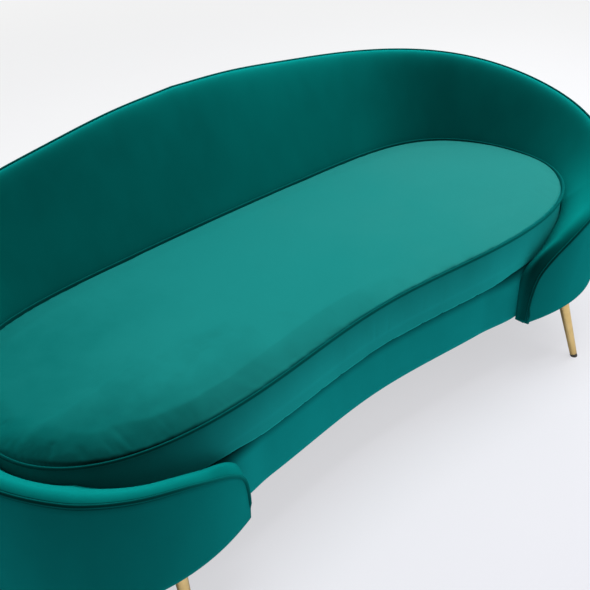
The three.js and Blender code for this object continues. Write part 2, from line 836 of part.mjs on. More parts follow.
// Lathe about the leg's own axis, which then leans out from its mount
function leaningLathe(profile, place) {
  const [, sign, , , facing] = place;
  const top = legTop(place);
  const turn = sign * THREE.MathUtils.degToRad(legTurn);
  const geometry = new THREE.LatheGeometry(profile.map(([r, z]) => new THREE.Vector2(r, z)), legSides);
  geometry.rotateX(Math.PI / 2);
  geometry.rotateX(-THREE.MathUtils.degToRad(legSplay));
  geometry.rotateZ(facing < 0 ? turn : Math.PI - turn);
  return geometry.translate(top.x, top.y, mountBottom);
}

const mountTop = legHeight;
const mountBottom = mountTop - mountThickness;

// Slab that takes off all that a leaning leg has above or below a level
function levelCutter(place, low, high) {
  const top = legTop(place);
  const reach = 2 * legHeight;
  return new THREE.BoxGeometry(reach, reach, high - low).translate(top.x, top.y, (low + high) / 2);
}

function addLeg(place) {
  const [name] = place;
  const slant = mountBottom / Math.cos(THREE.MathUtils.degToRad(legSplay));
  const glideTop = glideHeight - slant;
  const boreRadius = glideSpigotRadius + fitGap;
  const boreTop = glideTop + glideSpigotLength + fitGap;
  const leg = leaningLathe([
    [0, boreTop], [boreRadius, boreTop], [boreRadius, glideTop + fitGap],
    [legFootRadius, glideTop + fitGap], [legTopRadius, 0], [legTopRadius, overrun], [0, overrun],
  ], place);
  const glide = leaningLathe([
    [0, -slant - overrun], [legFootRadius, -slant - overrun], [legFootRadius, glideTop],
    [glideSpigotRadius, glideTop], [glideSpigotRadius, glideTop + glideSpigotLength],
    [0, glideTop + glideSpigotLength],
  ], place);
  const above = levelCutter(place, mountBottom - fitGap, mountBottom + 2 * overrun);
  const below = levelCutter(place, -2 * overrun, 0);
  addPiece(`leg_${name}`, cut(leg, above), 'goldMetal');
  addPiece(`glide_${name}`, cut(glide, below), 'glide');
  addMount(place);
}

// Round steel mount with its welded stud, which goes up into the base board
function addMount(place) {
  const [name] = place;
  const top = legTop(place);
  const profile = [
    [0, mountBottom], [mountRadius, mountBottom], [mountRadius, mountTop],
    [studRadius, mountTop], [studRadius, mountTop + studLength], [0, mountTop + studLength],
  ].map(([r, z]) => new THREE.Vector2(r, z));
  const geometry = new THREE.LatheGeometry(profile, legSides).rotateX(Math.PI / 2);
  addPiece(`leg_mount_${name}`, geometry.translate(top.x, top.y, 0), 'steel');
}

const boardTool = boardCutter();
addBoards();
addSeatFrame();
addBlocks();
addRibs();
addTopRail();
addSprings();
addBand(boardTool);
addShell(boardTool);
addCushion();
addCushionWelt();
legPlaces.forEach(addLeg);

// Centre the part over its own footprint
group.updateMatrixWorld(true);
const middle = new THREE.Box3().setFromObject(group, true).getCenter(new THREE.Vector3());
group.position.y = -middle.y;

export default group;
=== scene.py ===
"""Looks of the kidney-shaped velvet sofa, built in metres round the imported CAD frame."""

import json
import math

import bmesh
import bpy
import numpy as np
from mathutils import Matrix, Vector, kdtree

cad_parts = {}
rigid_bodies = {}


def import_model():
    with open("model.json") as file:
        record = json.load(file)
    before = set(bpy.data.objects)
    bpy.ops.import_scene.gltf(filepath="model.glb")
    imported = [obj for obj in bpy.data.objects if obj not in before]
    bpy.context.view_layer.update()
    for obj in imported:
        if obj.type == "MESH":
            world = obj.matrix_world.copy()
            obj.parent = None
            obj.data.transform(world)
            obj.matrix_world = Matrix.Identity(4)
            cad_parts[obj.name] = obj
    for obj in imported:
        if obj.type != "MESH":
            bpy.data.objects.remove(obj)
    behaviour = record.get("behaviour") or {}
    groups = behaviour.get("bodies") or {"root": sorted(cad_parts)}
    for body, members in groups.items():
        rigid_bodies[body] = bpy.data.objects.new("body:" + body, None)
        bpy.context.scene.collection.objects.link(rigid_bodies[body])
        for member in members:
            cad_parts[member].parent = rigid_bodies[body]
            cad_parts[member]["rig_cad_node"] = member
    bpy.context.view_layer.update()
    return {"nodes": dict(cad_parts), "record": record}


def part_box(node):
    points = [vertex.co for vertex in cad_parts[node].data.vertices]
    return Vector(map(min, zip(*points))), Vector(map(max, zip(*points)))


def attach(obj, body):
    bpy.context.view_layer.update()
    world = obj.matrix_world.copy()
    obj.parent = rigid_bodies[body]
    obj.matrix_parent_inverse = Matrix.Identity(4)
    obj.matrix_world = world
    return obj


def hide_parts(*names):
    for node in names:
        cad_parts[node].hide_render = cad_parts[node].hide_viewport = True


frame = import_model()
nodes = frame["nodes"]
MM = 0.001

# The part's own sizes in millimetres, as in its source
SEAT_WIDTH, SEAT_DEPTH = 1674, 611
OUTLINE_SHARES = [
    (0, 1), (0.39, 0.97), (0.775, 0.93), (0.965, 0.405),
    (1, -0.56), (0.775, -1.045), (0.415, -1.07), (0, -0.88),
]
LEG_HEIGHT, SHELL_BOTTOM, DECK_HEIGHT = 176, 170, 324
SEAT_HEIGHT, CREST_HEIGHT = 433, 746
MOUTH_WIDTH, SHELL_THICKNESS, ARM_END_THICKNESS = 960, 110, 33
ARM_TAPER_LENGTH, ARM_TAPER_SHARE, SHELL_LEAN = 280, 1.3, 0.06
SHELL_CLEARANCE, FLARE_HEIGHT, ARM_SLOPE = 1, 392, 0.66
CONTACT_SHARE, ARM_END_BULGE, BULGE_LENGTH, NOSE_BULGE_SHARE = 0.45, 22, 190, 0.27
LEAD_LENGTH, LEAD_POWER, LEAD_FADE_POWER = 90, 2.6, 1.2
PAD_THICKNESS, PANEL_THICKNESS, CREST_PAD, RAIL_DEPTH = 40, 6, 40, 26
WELT_RADIUS, WELT_SINK, SEAM_GAP, SEAM_DROP = 4, 2.4, 1, 12
CREST_SHARES = [
    (0, 1), (0.12, 0.984), (0.25, 0.942), (0.4, 0.884), (0.55, 0.807), (0.69, 0.695), (0.78, 0.578),
    (0.86, 0.492), (0.905, 0.444), (0.94, 0.385), (0.97, 0.321), (0.99, 0.25), (0.998, 0.16), (1, 0.09),
]
CROWDING_SHARE, NOSE_REACH, NOSE_FOOT = 1.4, 1.8, 6
ROLL_HANDLE, FLARE_HANDLE, ROLL_RISE = 0.35, 0.4, 12
FRONT_OVERHANG, OVERHANG_RAMP, BAND_THICKNESS = 13, 130, 8
BOARD_BOTTOM, BOARD_TOP = 177.6, 195.6
DECK_PAD_TOP, DECK_PAD_BOTTOM = 323.7, 307.7
FRONT_LEG_FROM_END, BACK_LEG_FROM_CENTRE = 148, 600
FRONT_LEG_INSET, BACK_LEG_INSET = 24, 45
LEG_TOP, LEG_TOP_RADIUS, LEG_FOOT_RADIUS = 172.7, 14, 9.5
LEG_SPLAY, LEG_TURN = math.radians(17), math.radians(16)
MOUNT_BOTTOM, GLIDE_HEIGHT = 173, 7
CUSHION_WELT_SINK = 2.6
POST_MARGIN, FIT_GAP = 34, 0.3

# Sizes of the looks alone, in millimetres
CUSHION_CROWN, CUSHION_WELT_RADIUS, WELT_PRESS = 23, 3.8, 1.0
# The photographed left arm reaches further along the seat than the right one, lower and thicker
LEFT_REACH, LEFT_REACH_LENGTH = 18, 330
LEFT_DROP_SHARE, LEFT_DROP_FROM, LEFT_DROP_TO = 0.05, 450, 120
LEFT_EXTRA, LEFT_EXTRA_TO = 8, 60
HEM_TURN, HEM_ROUND, OUTSIDE_BELLY, WELT_FOOT_SHARE = 1.2, 1.5, 1.2, 0.6
# Offset outwards and share of the height, at the seat band's foot and at its top
BAND_FOOT = [(-2.4, 0.0), (-0.7, 0.012), (0.0, 0.035)]
BAND_TOP = [(-0.2, 0.97), (-1.6, 1.0)]
BAND_BELLY, BAND_BELLY_FROM, BAND_BELLY_TO = 0.9, 0.1, 0.93
FELT_PRESS, FELT_INSET, FELT_TURN, FELT_ROUND = 5.2, 2, 5, 3
FELT_DIP, FELT_WAVE, FELT_SEED = 0.5, 160, 5
BORDER_THICKNESS = 4.6
# Offset and height of the velvet border's closed section
BORDER_PROFILE = [
    (-62.0, 0.2), (-2.0, 0.2), (-0.4, 1.0), (0.0, 2.4), (-0.4, 3.6),
    (-2.0, 4.3), (-8.0, 4.6), (-58.0, 4.6), (-61.2, 3.8), (-62.4, 2.2),
]
COVER_INSET, COVER_GAP, COVER_HEM, COVER_SLACK = 1.0, 0.35, 14, 0.25
COVER_SAG, COVER_WAVE, COVER_SEED = 3.0, 260, 11
COVER_TURN, COVER_THICKNESS = 0.5, 0.4
STAPLE_INSET, STAPLE_HEIGHT, STAPLE_HALF_WIDTH = 7, 0.2, 0.55
STAPLE_PROFILE = [(-5.4, 0.5), (-5.2, -0.15), (-4.6, -0.4), (4.6, -0.4), (5.2, -0.15), (5.4, 0.5)]
# Nearly straight down, since a lathe's axis can't stand quite upright
DOWN = [0, 1e-9, -1]
FLOOR_GAP = 0.05
# Radius, and distance down the axis from a leg's foot or top
LEG_FOOT_PROFILE = [(9.2, -0.3), (8.6, -0.2), (4.0, -0.2)]
GLIDE_PROFILE = [(5.0, 0), (9.0, 0), (9.5, 0.5), (9.6, 3.0), (9.4, 9.0), (9.2, 14.0)]
MOUNT_PROFILE = [(10.0, 0.0), (16.2, 0.0), (17.0, -0.7), (17.0, -2.5), (16.4, -3.0), (8.0, -3.0)]
# Cushion: its place inside the seat outline, its rim, side and crown, and how far its cloth may move
CUSHION_INSET, SEAM_STEP, UNDERSIDE_INSET = 1.2, 1, 12
RIM_ROUND, RIM_DROOP, RIM_BAND = 4, 7, 34
DROOP_FROM, DROOP_TO = 20, 110
SIDE_SWELL, SIDE_LEAN, SEAM_PINCH, PINCH_RATE = 1.6, 2.5, 1.8, 20
CROWN_FALL, CROWN_FROM, CROWN_TO = 24, -30, 300
CROWN_INSETS = [3, 7, 12, 18, 26, 36, 50]
CROWN_WAVE, CROWN_WAVE_SIZE, CROWN_SEED = 0.5, 150, 3
BACK_LIMIT, FRONT_LIMIT, LIMIT_RAMP = -0.4, 1.6, 60
TOP_GIVE, SIDE_GIVE, CROWN_MARGIN, GROOVE_GAP = 2.2, 1.4, 3, 0.25
SEAM_HOLD, SEAM_HOLD_INSET, UNDERSIDE_HOLD, UNDERSIDE_REACH = 6, 9, 10, 200
TINY = 1e-6
# The remesh's voxels in metres
VOXEL, QUICK_VOXEL = 0.006, 0.009

# Counts, with the staples' pitch in stations of the dust cover
STAPLE_PITCH = 7
SHELL_STATIONS, NOSE_STATIONS, ROLL_STEPS, WELT_STATIONS = 190, 10, 34, 260
BAND_STATIONS, DECK_STATIONS, COVER_STATIONS = 720, 480, 700
CUSHION_STATIONS, CUSHION_WELT_STATIONS, FINE_STATIONS = 440, 900, 2400
CREST_SAMPLES, OUTLINE_SAMPLES, WAVES, CLOTH_FRAMES = 3000, 300, 7, 20
PROFILE_SAMPLES, CHUNK, WELT_SIDES, LEG_SIDES = 600, 2000, 14, 64


def lerp(a, b, t):
    return a + (b - a) * t


def smoothstep(x, low, high):
    t = np.clip((x - low) / (high - low), 0, 1)
    return t * t * (3 - 2 * t)


def wave(points, size, seed):
    """Smooth seeded ripple, mostly between -1 and 1, over points in millimetres, about size across."""
    rng = np.random.default_rng(seed)
    total = np.zeros(len(points))
    for _ in range(WAVES):
        direction = rng.normal(size=3)
        direction /= np.linalg.norm(direction)
        rate = 2 * np.pi / (size * rng.uniform(0.7, 1.6))
        total += np.sin(points @ direction * rate + rng.uniform(0, 2 * np.pi))
    return total / (WAVES / 2)


def half_outline():
    """Right half of the seat outline, a closed cubic B-spline, from back centre to front centre."""
    right = np.array(OUTLINE_SHARES, float)
    left = right[1:-1][::-1] * [-1, 1]
    controls = np.vstack([right, left])
    points = []
    for span in range(len(right)):
        last = span == len(right) - 1
        for i in range(1 if last else OUTLINE_SAMPLES):
            t = i / OUTLINE_SAMPLES
            weights = [
                (1 - t) ** 3 / 6, (3 * t**3 - 6 * t**2 + 4) / 6,
                (-3 * t**3 + 3 * t**2 + 3 * t + 1) / 6, t**3 / 6,
            ]
            near = [controls[(span + k - 1) % len(controls)] for k in range(4)]
            points.append(sum(w * p for w, p in zip(weights, near)))
    points = np.array(points)
    points[:, 0] *= SEAT_WIDTH / 2 / points[:, 0].max()
    points[:, 1] *= SEAT_DEPTH / np.ptp(points[:, 1])
    return points


HALF = half_outline()
STEPS = np.linalg.norm(np.diff(HALF, axis=0), axis=1)
LENGTHS = np.concatenate([[0], np.cumsum(STEPS)])
HALF_LENGTH = LENGTHS[-1]
TANGENT = np.gradient(HALF, LENGTHS, axis=0)
TANGENT[[0, -1], 1] = 0
TANGENT /= np.linalg.norm(TANGENT, axis=1)[:, None]
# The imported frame's own shift along Y, read off the cushion's rear edge
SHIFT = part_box("seat_cushion")[1].y / MM - HALF[:, 1].max()

mouth = np.argmax((HALF[:, 1] < 0) & (HALF[:, 0] < MOUTH_WIDTH / 2))
WRAP = float(np.interp(-MOUTH_WIDTH / 2, -HALF[mouth - 1:mouth + 1, 0], LENGTHS[mouth - 1:mouth + 1]))
POST = WRAP - FRONT_LEG_FROM_END + POST_MARGIN
# Rise of the cushion's top beside its seam, by length from the back centre
CROWN_LENGTHS = [0, 700, 1000, 1130, 1250, 1380, 1550, 1750, HALF_LENGTH]
CROWN_EDGES = [8.5, 9, 18, 27, 18, 12, 11, 9.5, 9.5]


def at(s, offset, z, ahead=0.0):
    """Points at lengths s along the outline, offset outwards and moved ahead to the arm's end."""
    s = np.asarray(s, float)
    a, end = np.abs(s), np.where(s < 0, -1.0, 1.0)
    x, y = (np.interp(a, LENGTHS, HALF[:, k]) for k in (0, 1))
    tx, ty = (np.interp(a, LENGTHS, TANGENT[:, k]) for k in (0, 1))
    nx, ny = -ty, tx
    px = end * (x + nx * offset + ny * ahead)
    py = y + ny * offset - nx * ahead + SHIFT
    return np.stack(np.broadcast_arrays(px, py, z), axis=-1)


def catmull(points, t):
    """Centripetal Catmull-Rom curve through points, as the CAD source uses."""
    count = len(points)
    i = min(int(t * (count - 1)), count - 2)
    w = t * (count - 1) - i
    p1, p2 = points[i], points[i + 1]
    p0 = points[i - 1] if i > 0 else 2 * p1 - p2
    p3 = points[i + 2] if i + 2 < count else 2 * p2 - p1
    d0, d1, d2 = (np.linalg.norm(b - a) ** 0.5 for a, b in ((p0, p1), (p1, p2), (p2, p3)))
    t1 = ((p1 - p0) / d0 - (p2 - p0) / (d0 + d1) + (p2 - p1) / d1) * d1
    t2 = ((p2 - p1) / d1 - (p3 - p1) / (d1 + d2) + (p3 - p2) / d2) * d1
    c2 = -3 * p1 + 3 * p2 - 2 * t1 - t2
    c3 = 2 * p1 - 2 * p2 + t1 + t2
    return p1 + t1 * w + c2 * w**2 + c3 * w**3


class Stations:
    """Arrays of length along the outline and crest height, with the crest line's direction."""

    def __init__(self, s, crest, level, steep):
        values = (np.asarray(v, float) for v in (s, crest, level, steep))
        self.s, self.crest, self.level, self.steep = values
        a = np.abs(self.s)
        share = np.clip((WRAP - a) / ARM_TAPER_LENGTH, 0, 1)
        self.full = lerp(ARM_END_THICKNESS, SHELL_THICKNESS, 1 - (1 - share) ** ARM_TAPER_SHARE)
        extra = smoothstep(-self.s, WRAP - LEFT_REACH_LENGTH, WRAP - LEFT_EXTRA_TO)
        self.full = self.full + LEFT_EXTRA * extra
        height = self.crest - SHELL_BOTTOM
        self.share = np.minimum(self.full / SHELL_THICKNESS, height / (2 * CREST_PAD))
        self.cavity = (a < POST + FIT_GAP).astype(float)
        self.bulge = ARM_END_BULGE * smoothstep(a, WRAP - BULGE_LENGTH, WRAP)
        to_end = np.clip(WRAP - a, 0, LEAD_LENGTH)
        self.lead = to_end - LEAD_LENGTH * (to_end / LEAD_LENGTH) ** LEAD_POWER
        self.valley = self.face(self.crest) - WELT_SINK
        sloped = self.crest - ARM_SLOPE * self.face(self.crest)
        lowest = lerp(SHELL_BOTTOM, self.crest, CONTACT_SHARE)
        self.contact = np.minimum(FLARE_HEIGHT, np.maximum(sloped, lowest))
        self.rail_top = self.crest - CREST_PAD * self.share
        self.shoulder = self.crest - SEAM_DROP * self.share

    def face(self, z):
        return self.full + SHELL_LEAN * (z - SHELL_BOTTOM)

    def panel(self, z):
        return self.face(z) - PANEL_THICKNESS - FIT_GAP


def crest_table(count):
    """Length, height and direction of the crest line, its stations crowded towards the arm's end."""
    controls = np.array([(a * WRAP, lerp(SHELL_BOTTOM, CREST_HEIGHT, b)) for a, b in CREST_SHARES])
    fine = np.array([catmull(controls, t) for t in np.linspace(0, 1, CREST_SAMPLES)])
    run = np.concatenate([[0], np.cumsum(np.linalg.norm(np.diff(fine, axis=0), axis=1))])
    share = 1 - (1 - np.linspace(0, 1, count)) ** CROWDING_SHARE
    s, z = (np.interp(share * run[-1], run, fine[:, k]) for k in (0, 1))
    slope = np.gradient(fine, run, axis=0)
    level, fall = (np.interp(share * run[-1], run, slope[:, k]) for k in (0, 1))
    return np.minimum(s, WRAP), z, level, -fall


def shell_stations(count, nose):
    """Stations from the left arm's end to the right one's, with nose more of them on each end."""
    s, crest, level, steep = crest_table(count)
    if nose:
        part = np.linspace(0, 1, nose + 1)[1:]
        s = np.append(s, WRAP + NOSE_REACH * part)
        crest = np.append(crest, lerp(crest[-1], SHELL_BOTTOM + NOSE_FOOT, part))
        level = np.append(level, np.zeros(nose))
        steep = np.append(steep, np.ones(nose))
    signed = ((-1, s), (1, crest), (1, level), (1, steep))
    s, crest, level, steep = (np.concatenate([sign * v[:0:-1], v]) for sign, v in signed)
    drop = smoothstep(-s, WRAP - LEFT_DROP_FROM, WRAP - LEFT_DROP_TO)
    crest = crest - LEFT_DROP_SHARE * (crest - SHELL_BOTTOM) * drop
    made = Stations(s, crest, level, steep)
    made.s = made.s - LEFT_REACH * smoothstep(-made.s, WRAP - LEFT_REACH_LENGTH, WRAP)
    return made


def make_object(name, points, faces, slot, body="sofa", smooth=True):
    """Mesh from points in millimetres, riding on a body."""
    mesh = bpy.data.meshes.new(name)
    metres = np.asarray(points, float) * MM
    mesh.from_pydata([tuple(p) for p in metres], [], [tuple(f) for f in faces])
    mesh.validate()
    bm = bmesh.new()
    bm.from_mesh(mesh)
    bmesh.ops.recalc_face_normals(bm, faces=bm.faces)
    bm.to_mesh(mesh)
    bm.free()
    for polygon in mesh.polygons:
        polygon.use_smooth = smooth
    obj = bpy.data.objects.new(name, mesh)
    bpy.context.scene.collection.objects.link(obj)
    mesh.materials.append(MATERIALS[slot])
    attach(obj, body)
    return obj


def skin(rows, closed_run=False):
    """Points and faces of a tube through rows, each a closed loop of points."""
    rows = np.asarray(rows, float)
    count, ring = rows.shape[:2]
    faces = []
    for r in range(count if closed_run else count - 1):
        n, f = r * ring, ((r + 1) % count) * ring
        faces += [(n + i, n + (i + 1) % ring, f + (i + 1) % ring, f + i) for i in range(ring)]
    if not closed_run:
        faces.append(tuple(range(ring))[::-1])
        faces.append(tuple(range((count - 1) * ring, count * ring)))
    return rows.reshape(-1, 3), faces


def ring_faces(rows, count, cap_first=True):
    """Faces between stacked rings of points, with a cap on the last ring and as a rule on the first."""
    faces = []
    for r in range(rows - 1):
        n, f = r * count, (r + 1) * count
        faces += [(n + i, n + (i + 1) % count, f + (i + 1) % count, f + i) for i in range(count)]
    last = (rows - 1) * count
    faces.append(tuple(range(last, last + count)))
    if cap_first:
        faces.append(tuple(range(count))[::-1])
    return faces


def bezier(p0, p1, p2, p3, t):
    u = 1 - t
    return u**3 * p0 + 3 * u * u * t * p1 + 3 * u * t * t * p2 + t**3 * p3


# Materials
BROAD_NAP, FINE_NAP, PAINTED_SHEEN_POWER = 0.025, 0.012, 1.1
SHEEN_WEIGHT, SHEEN_ROUGHNESS = 0.1, 0.35


def new_material(name, roughness, metallic=0.0):
    material = bpy.data.materials.new(name)
    material.use_nodes = True
    tree = material.node_tree
    tree.nodes.clear()
    output = tree.nodes.new("ShaderNodeOutputMaterial")
    shader = tree.nodes.new("ShaderNodeBsdfPrincipled")
    shader.inputs["Roughness"].default_value = roughness
    shader.inputs["Metallic"].default_value = metallic
    tree.links.new(shader.outputs[0], output.inputs[0])
    return material, tree, shader


def node(tree, kind, inputs=(), **settings):
    made = tree.nodes.new(kind)
    for key, value in settings.items():
        setattr(made, key, value)
    for key, value in dict(inputs).items():
        if isinstance(value, bpy.types.NodeSocket):
            tree.links.new(value, made.inputs[key])
        else:
            made.inputs[key].default_value = value
    return made


def place_of(tree, scale=(1, 1, 1)):
    coords = node(tree, "ShaderNodeTexCoord")
    mapping = node(tree, "ShaderNodeMapping", {"Vector": coords.outputs["Object"], "Scale": scale})
    return mapping.outputs[0]


def noise_of(tree, vector, scale, detail, roughness):
    made = node(tree, "ShaderNodeTexNoise", {
        "Vector": vector, "Scale": scale, "Detail": detail, "Roughness": roughness})
    return made.outputs["Fac"]


def span_of(tree, value, low, high, to_low=0.0, to_high=1.0):
    made = node(tree, "ShaderNodeMapRange", {
        "Value": value, "From Min": low, "From Max": high, "To Min": to_low, "To Max": to_high})
    made.interpolation_type = "SMOOTHSTEP"
    return made.outputs[0]


def maths(tree, operation, a, b):
    return node(tree, "ShaderNodeMath", {0: a, 1: b}, operation=operation).outputs[0]


def mix_colour(tree, factor, a, b):
    made = tree.nodes.new("ShaderNodeMix")
    made.data_type = "RGBA"
    for index, value in ((0, factor), (6, a), (7, b)):
        if isinstance(value, bpy.types.NodeSocket):
            tree.links.new(value, made.inputs[index])
        else:
            made.inputs[index].default_value = value if index == 0 else (*value, 1)
    return made.outputs[2]


def bump_of(tree, shader, height, strength, distance):
    made = node(tree, "ShaderNodeBump", {"Height": height, "Strength": strength, "Distance": distance})
    tree.links.new(made.outputs[0], shader.inputs["Normal"])


def velvet(name, bright, deep, haze=0.05, full=0.62, low=None, span=(0.3, 0.43), end=None):
    """Short pile, its sheen painted into the colour: deep where it is seen straight on and bright at
    grazing angles, with brush marks.

    low gives the bright and deep colours of a painted shade, full past the first height in span and gone
    past the second: towards the bottom on the inside, towards the top of the base band under the
    cushion. end gives the bright colour at the left end, painted darker as shade, and at the right end,
    painted brighter and hazier as lit sheen.
    """
    material, tree, shader = new_material(name, 0.9)
    facing = node(tree, "ShaderNodeLayerWeight", {"Blend": 0.5}).outputs["Facing"]
    broad = noise_of(tree, place_of(tree, (1, 1, 0.6)), 3.6, 1.5, 0.4)
    marks = noise_of(tree, place_of(tree, (1, 1, 0.45)), 17.0, 2.5, 0.5)
    pile = noise_of(tree, place_of(tree), 950.0, 2.0, 0.7)
    swept = span_of(tree, broad, 0.3, 0.7, -BROAD_NAP, BROAD_NAP)
    nap = maths(tree, "ADD", swept, span_of(tree, marks, 0.3, 0.7, -FINE_NAP, FINE_NAP))
    # Painted sheen: the colour runs from deep where the pile is seen straight on to bright at grazing
    # angles.
    lift = node(tree, "ShaderNodeMapRange", {
        "Value": maths(tree, "ADD", facing, nap), "From Min": 0.0, "From Max": full})
    ramp = maths(tree, "POWER", lift.outputs[0], PAINTED_SHEEN_POWER)
    colour = mix_colour(tree, ramp, deep, bright)
    place = node(tree, "ShaderNodeSeparateXYZ", {0: place_of(tree)})
    # Painted shade: the low colours darken the inside towards the seat and the base band's top under the
    # cushion's overhang.
    if low:
        under = mix_colour(tree, ramp, low[1], low[0])
        colour = mix_colour(tree, span_of(tree, place.outputs["Z"], *span), under, colour)
    # Painted light and shade along the length, not brushing: darker at the left end, lighter and hazier
    # towards the right end.
    if end:
        along = maths(tree, "ADD", place.outputs["X"], maths(tree, "MULTIPLY", nap, 3.0))
        brushed = mix_colour(tree, span_of(tree, along, -0.2, 0.9), bright, end[1])
        brushed = mix_colour(tree, span_of(tree, along, -1.0, -0.25), end[0], brushed)
        colour = mix_colour(tree, ramp, deep, brushed)
    speckled = mix_colour(tree, span_of(tree, pile, 0.2, 0.8, 0.0, 0.14), colour, deep)
    tree.links.new(speckled, shader.inputs["Base Color"])
    shader.inputs["Specular IOR Level"].default_value = 0.0
    shader.inputs["Sheen Weight"].default_value = SHEEN_WEIGHT
    shader.inputs["Sheen Roughness"].default_value = SHEEN_ROUGHNESS
    shader.inputs["Sheen Tint"].default_value = (haze, 0.9, 0.86, 1)
    bump_of(tree, shader, pile, 0.35, 0.0006)
    return material


def plywood(name):
    material, tree, shader = new_material(name, 0.62)
    grain = noise_of(tree, place_of(tree, (2.2, 26, 9)), 3.0, 6.0, 0.62)
    pores = noise_of(tree, place_of(tree, (12, 260, 60)), 6.0, 3.0, 0.6)
    layers = node(tree, "ShaderNodeTexWave", {
        "Vector": place_of(tree), "Scale": 110.0, "Distortion": 0.6, "Detail": 2.0}, bands_direction="Z")
    base = mix_colour(tree, span_of(tree, grain, 0.3, 0.7), (0.52, 0.36, 0.2), (0.74, 0.57, 0.37))
    glue = maths(tree, "MULTIPLY", layers.outputs["Fac"], 0.22)
    edged = mix_colour(tree, glue, base, (0.34, 0.2, 0.1))
    worn = mix_colour(tree, span_of(tree, pores, 0.56, 0.75, 0, 0.3), edged, (0.3, 0.18, 0.09))
    tree.links.new(worn, shader.inputs["Base Color"])
    bump_of(tree, shader, pores, 0.3, 0.0005)
    return material


def metal(name, light, dark, roughness, scale=(30, 30, 420)):
    material, tree, shader = new_material(name, roughness, 1.0)
    brushed = noise_of(tree, place_of(tree, scale), 4.0, 4.0, 0.6)
    cloud = noise_of(tree, place_of(tree), 22.0, 2.0, 0.5)
    colour = mix_colour(tree, span_of(tree, cloud, 0.3, 0.7), dark, light)
    tree.links.new(colour, shader.inputs["Base Color"])
    bump_of(tree, shader, brushed, 0.12, 0.0002)
    return material


def fleece(name, light, dark, scale):
    material, tree, shader = new_material(name, 0.95)
    fibres = noise_of(tree, place_of(tree), scale, 5.0, 0.75)
    cloud = noise_of(tree, place_of(tree), 9.0, 2.0, 0.5)
    tone = maths(tree, "ADD", maths(tree, "MULTIPLY", fibres, 0.6), maths(tree, "MULTIPLY", cloud, 0.4))
    colour = mix_colour(tree, span_of(tree, tone, 0.35, 0.65), dark, light)
    tree.links.new(colour, shader.inputs["Base Color"])
    shader.inputs["Specular IOR Level"].default_value = 0.2
    bump_of(tree, shader, fibres, 0.5, 0.0007)
    return material


def plastic(name):
    material, tree, shader = new_material(name, 0.55)
    scuff = noise_of(tree, place_of(tree), 130.0, 4.0, 0.6)
    worn = span_of(tree, scuff, 0.35, 0.75)
    colour = mix_colour(tree, worn, (0.03, 0.024, 0.018), (0.07, 0.058, 0.045))
    tree.links.new(colour, shader.inputs["Base Color"])
    bump_of(tree, shader, scuff, 0.2, 0.0003)
    return material


MATERIALS = {
    # Painted light and shade: the top is darker at its left end and lighter and hazier at its right end.
    "velvet_top": velvet(
        "velvet_top", (0.012, 0.248, 0.232), (0.0004, 0.007, 0.006), 0.15, 0.37,
        end=((0.001, 0.15, 0.138), (0.026, 0.262, 0.242))),
    "velvet_side": velvet("velvet_side", (0.011, 0.375, 0.365), (0.0003, 0.0095, 0.009), 0.2),
    # Painted shade: the inside is darker towards the seat.
    "velvet_inside": velvet(
        "velvet_inside", (0.002, 0.28, 0.258), (0.0003, 0.058, 0.053),
        low=((0.001, 0.2, 0.19), (0.0003, 0.011, 0.01))),
    "velvet_outside": velvet("velvet_outside", (0.003, 0.22, 0.212), (0.0003, 0.038, 0.036)),
    # Painted shade: the base band is darker towards its top, under the cushion's overhang.
    "velvet_base": velvet(
        "velvet_base", (0.006, 0.32, 0.315), (0.0005, 0.06, 0.057),
        low=((0.001, 0.07, 0.069), (0.0003, 0.008, 0.0075)), span=(0.323, 0.28)),
    "piping": velvet("piping", (0.002, 0.14, 0.132), (0.0004, 0.02, 0.018)),
    "plywood": plywood("plywood"),
    "steel": metal("steel", (0.56, 0.57, 0.59), (0.42, 0.43, 0.45), 0.38, (300, 300, 300)),
    "gold_metal": metal("gold_metal", (0.83, 0.6, 0.27), (0.7, 0.49, 0.2), 0.3),
    "glide": plastic("glide"),
    "felt": fleece("felt", (0.7, 0.67, 0.6), (0.55, 0.52, 0.46), 420.0),
    "black_cloth": fleece("black_cloth", (0.03, 0.03, 0.032), (0.012, 0.012, 0.013), 800.0),
}
# The velvets are copies of one cloth, each set lighter or darker: partly painted light and shade on each
# piece, partly how its pile lies; they are one material slot of the part
RECORDED = {p["node"]: p["material_slot"] for p in frame["record"]["subparts"]}

for obj in nodes.values():
    shown = MATERIALS.get(RECORDED[obj["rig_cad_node"]], MATERIALS["velvet_outside"])
    for index in range(len(obj.material_slots)):
        obj.material_slots[index].material = shown


# Padded shell
def roll_points(st, count):
    """Offset, height and move ahead of the roll from the cushion's side over the crest."""
    t = np.linspace(0, 1, count)[None, :]
    low_x, low_z = np.full_like(st.s, SHELL_CLEARANCE)[:, None], st.contact[:, None]
    high_x, high_z = st.valley[:, None], (st.crest + SEAM_GAP)[:, None]
    dx, dz = high_x - low_x, high_z - low_z
    rise = (ROLL_RISE * st.share)[:, None]
    offset = bezier(low_x, low_x + dx * ROLL_HANDLE, high_x - dx * ROLL_HANDLE, high_x, t)
    z = bezier(low_z, low_z + dz * FLARE_HANDLE, high_z + rise, high_z, t)
    swell = st.bulge[:, None] * np.sin(np.pi * t)
    lead = st.lead[:, None] * (1 - t) ** LEAD_FADE_POWER
    return offset, z + swell * st.level[:, None], lead + NOSE_BULGE_SHARE * swell * st.steep[:, None]


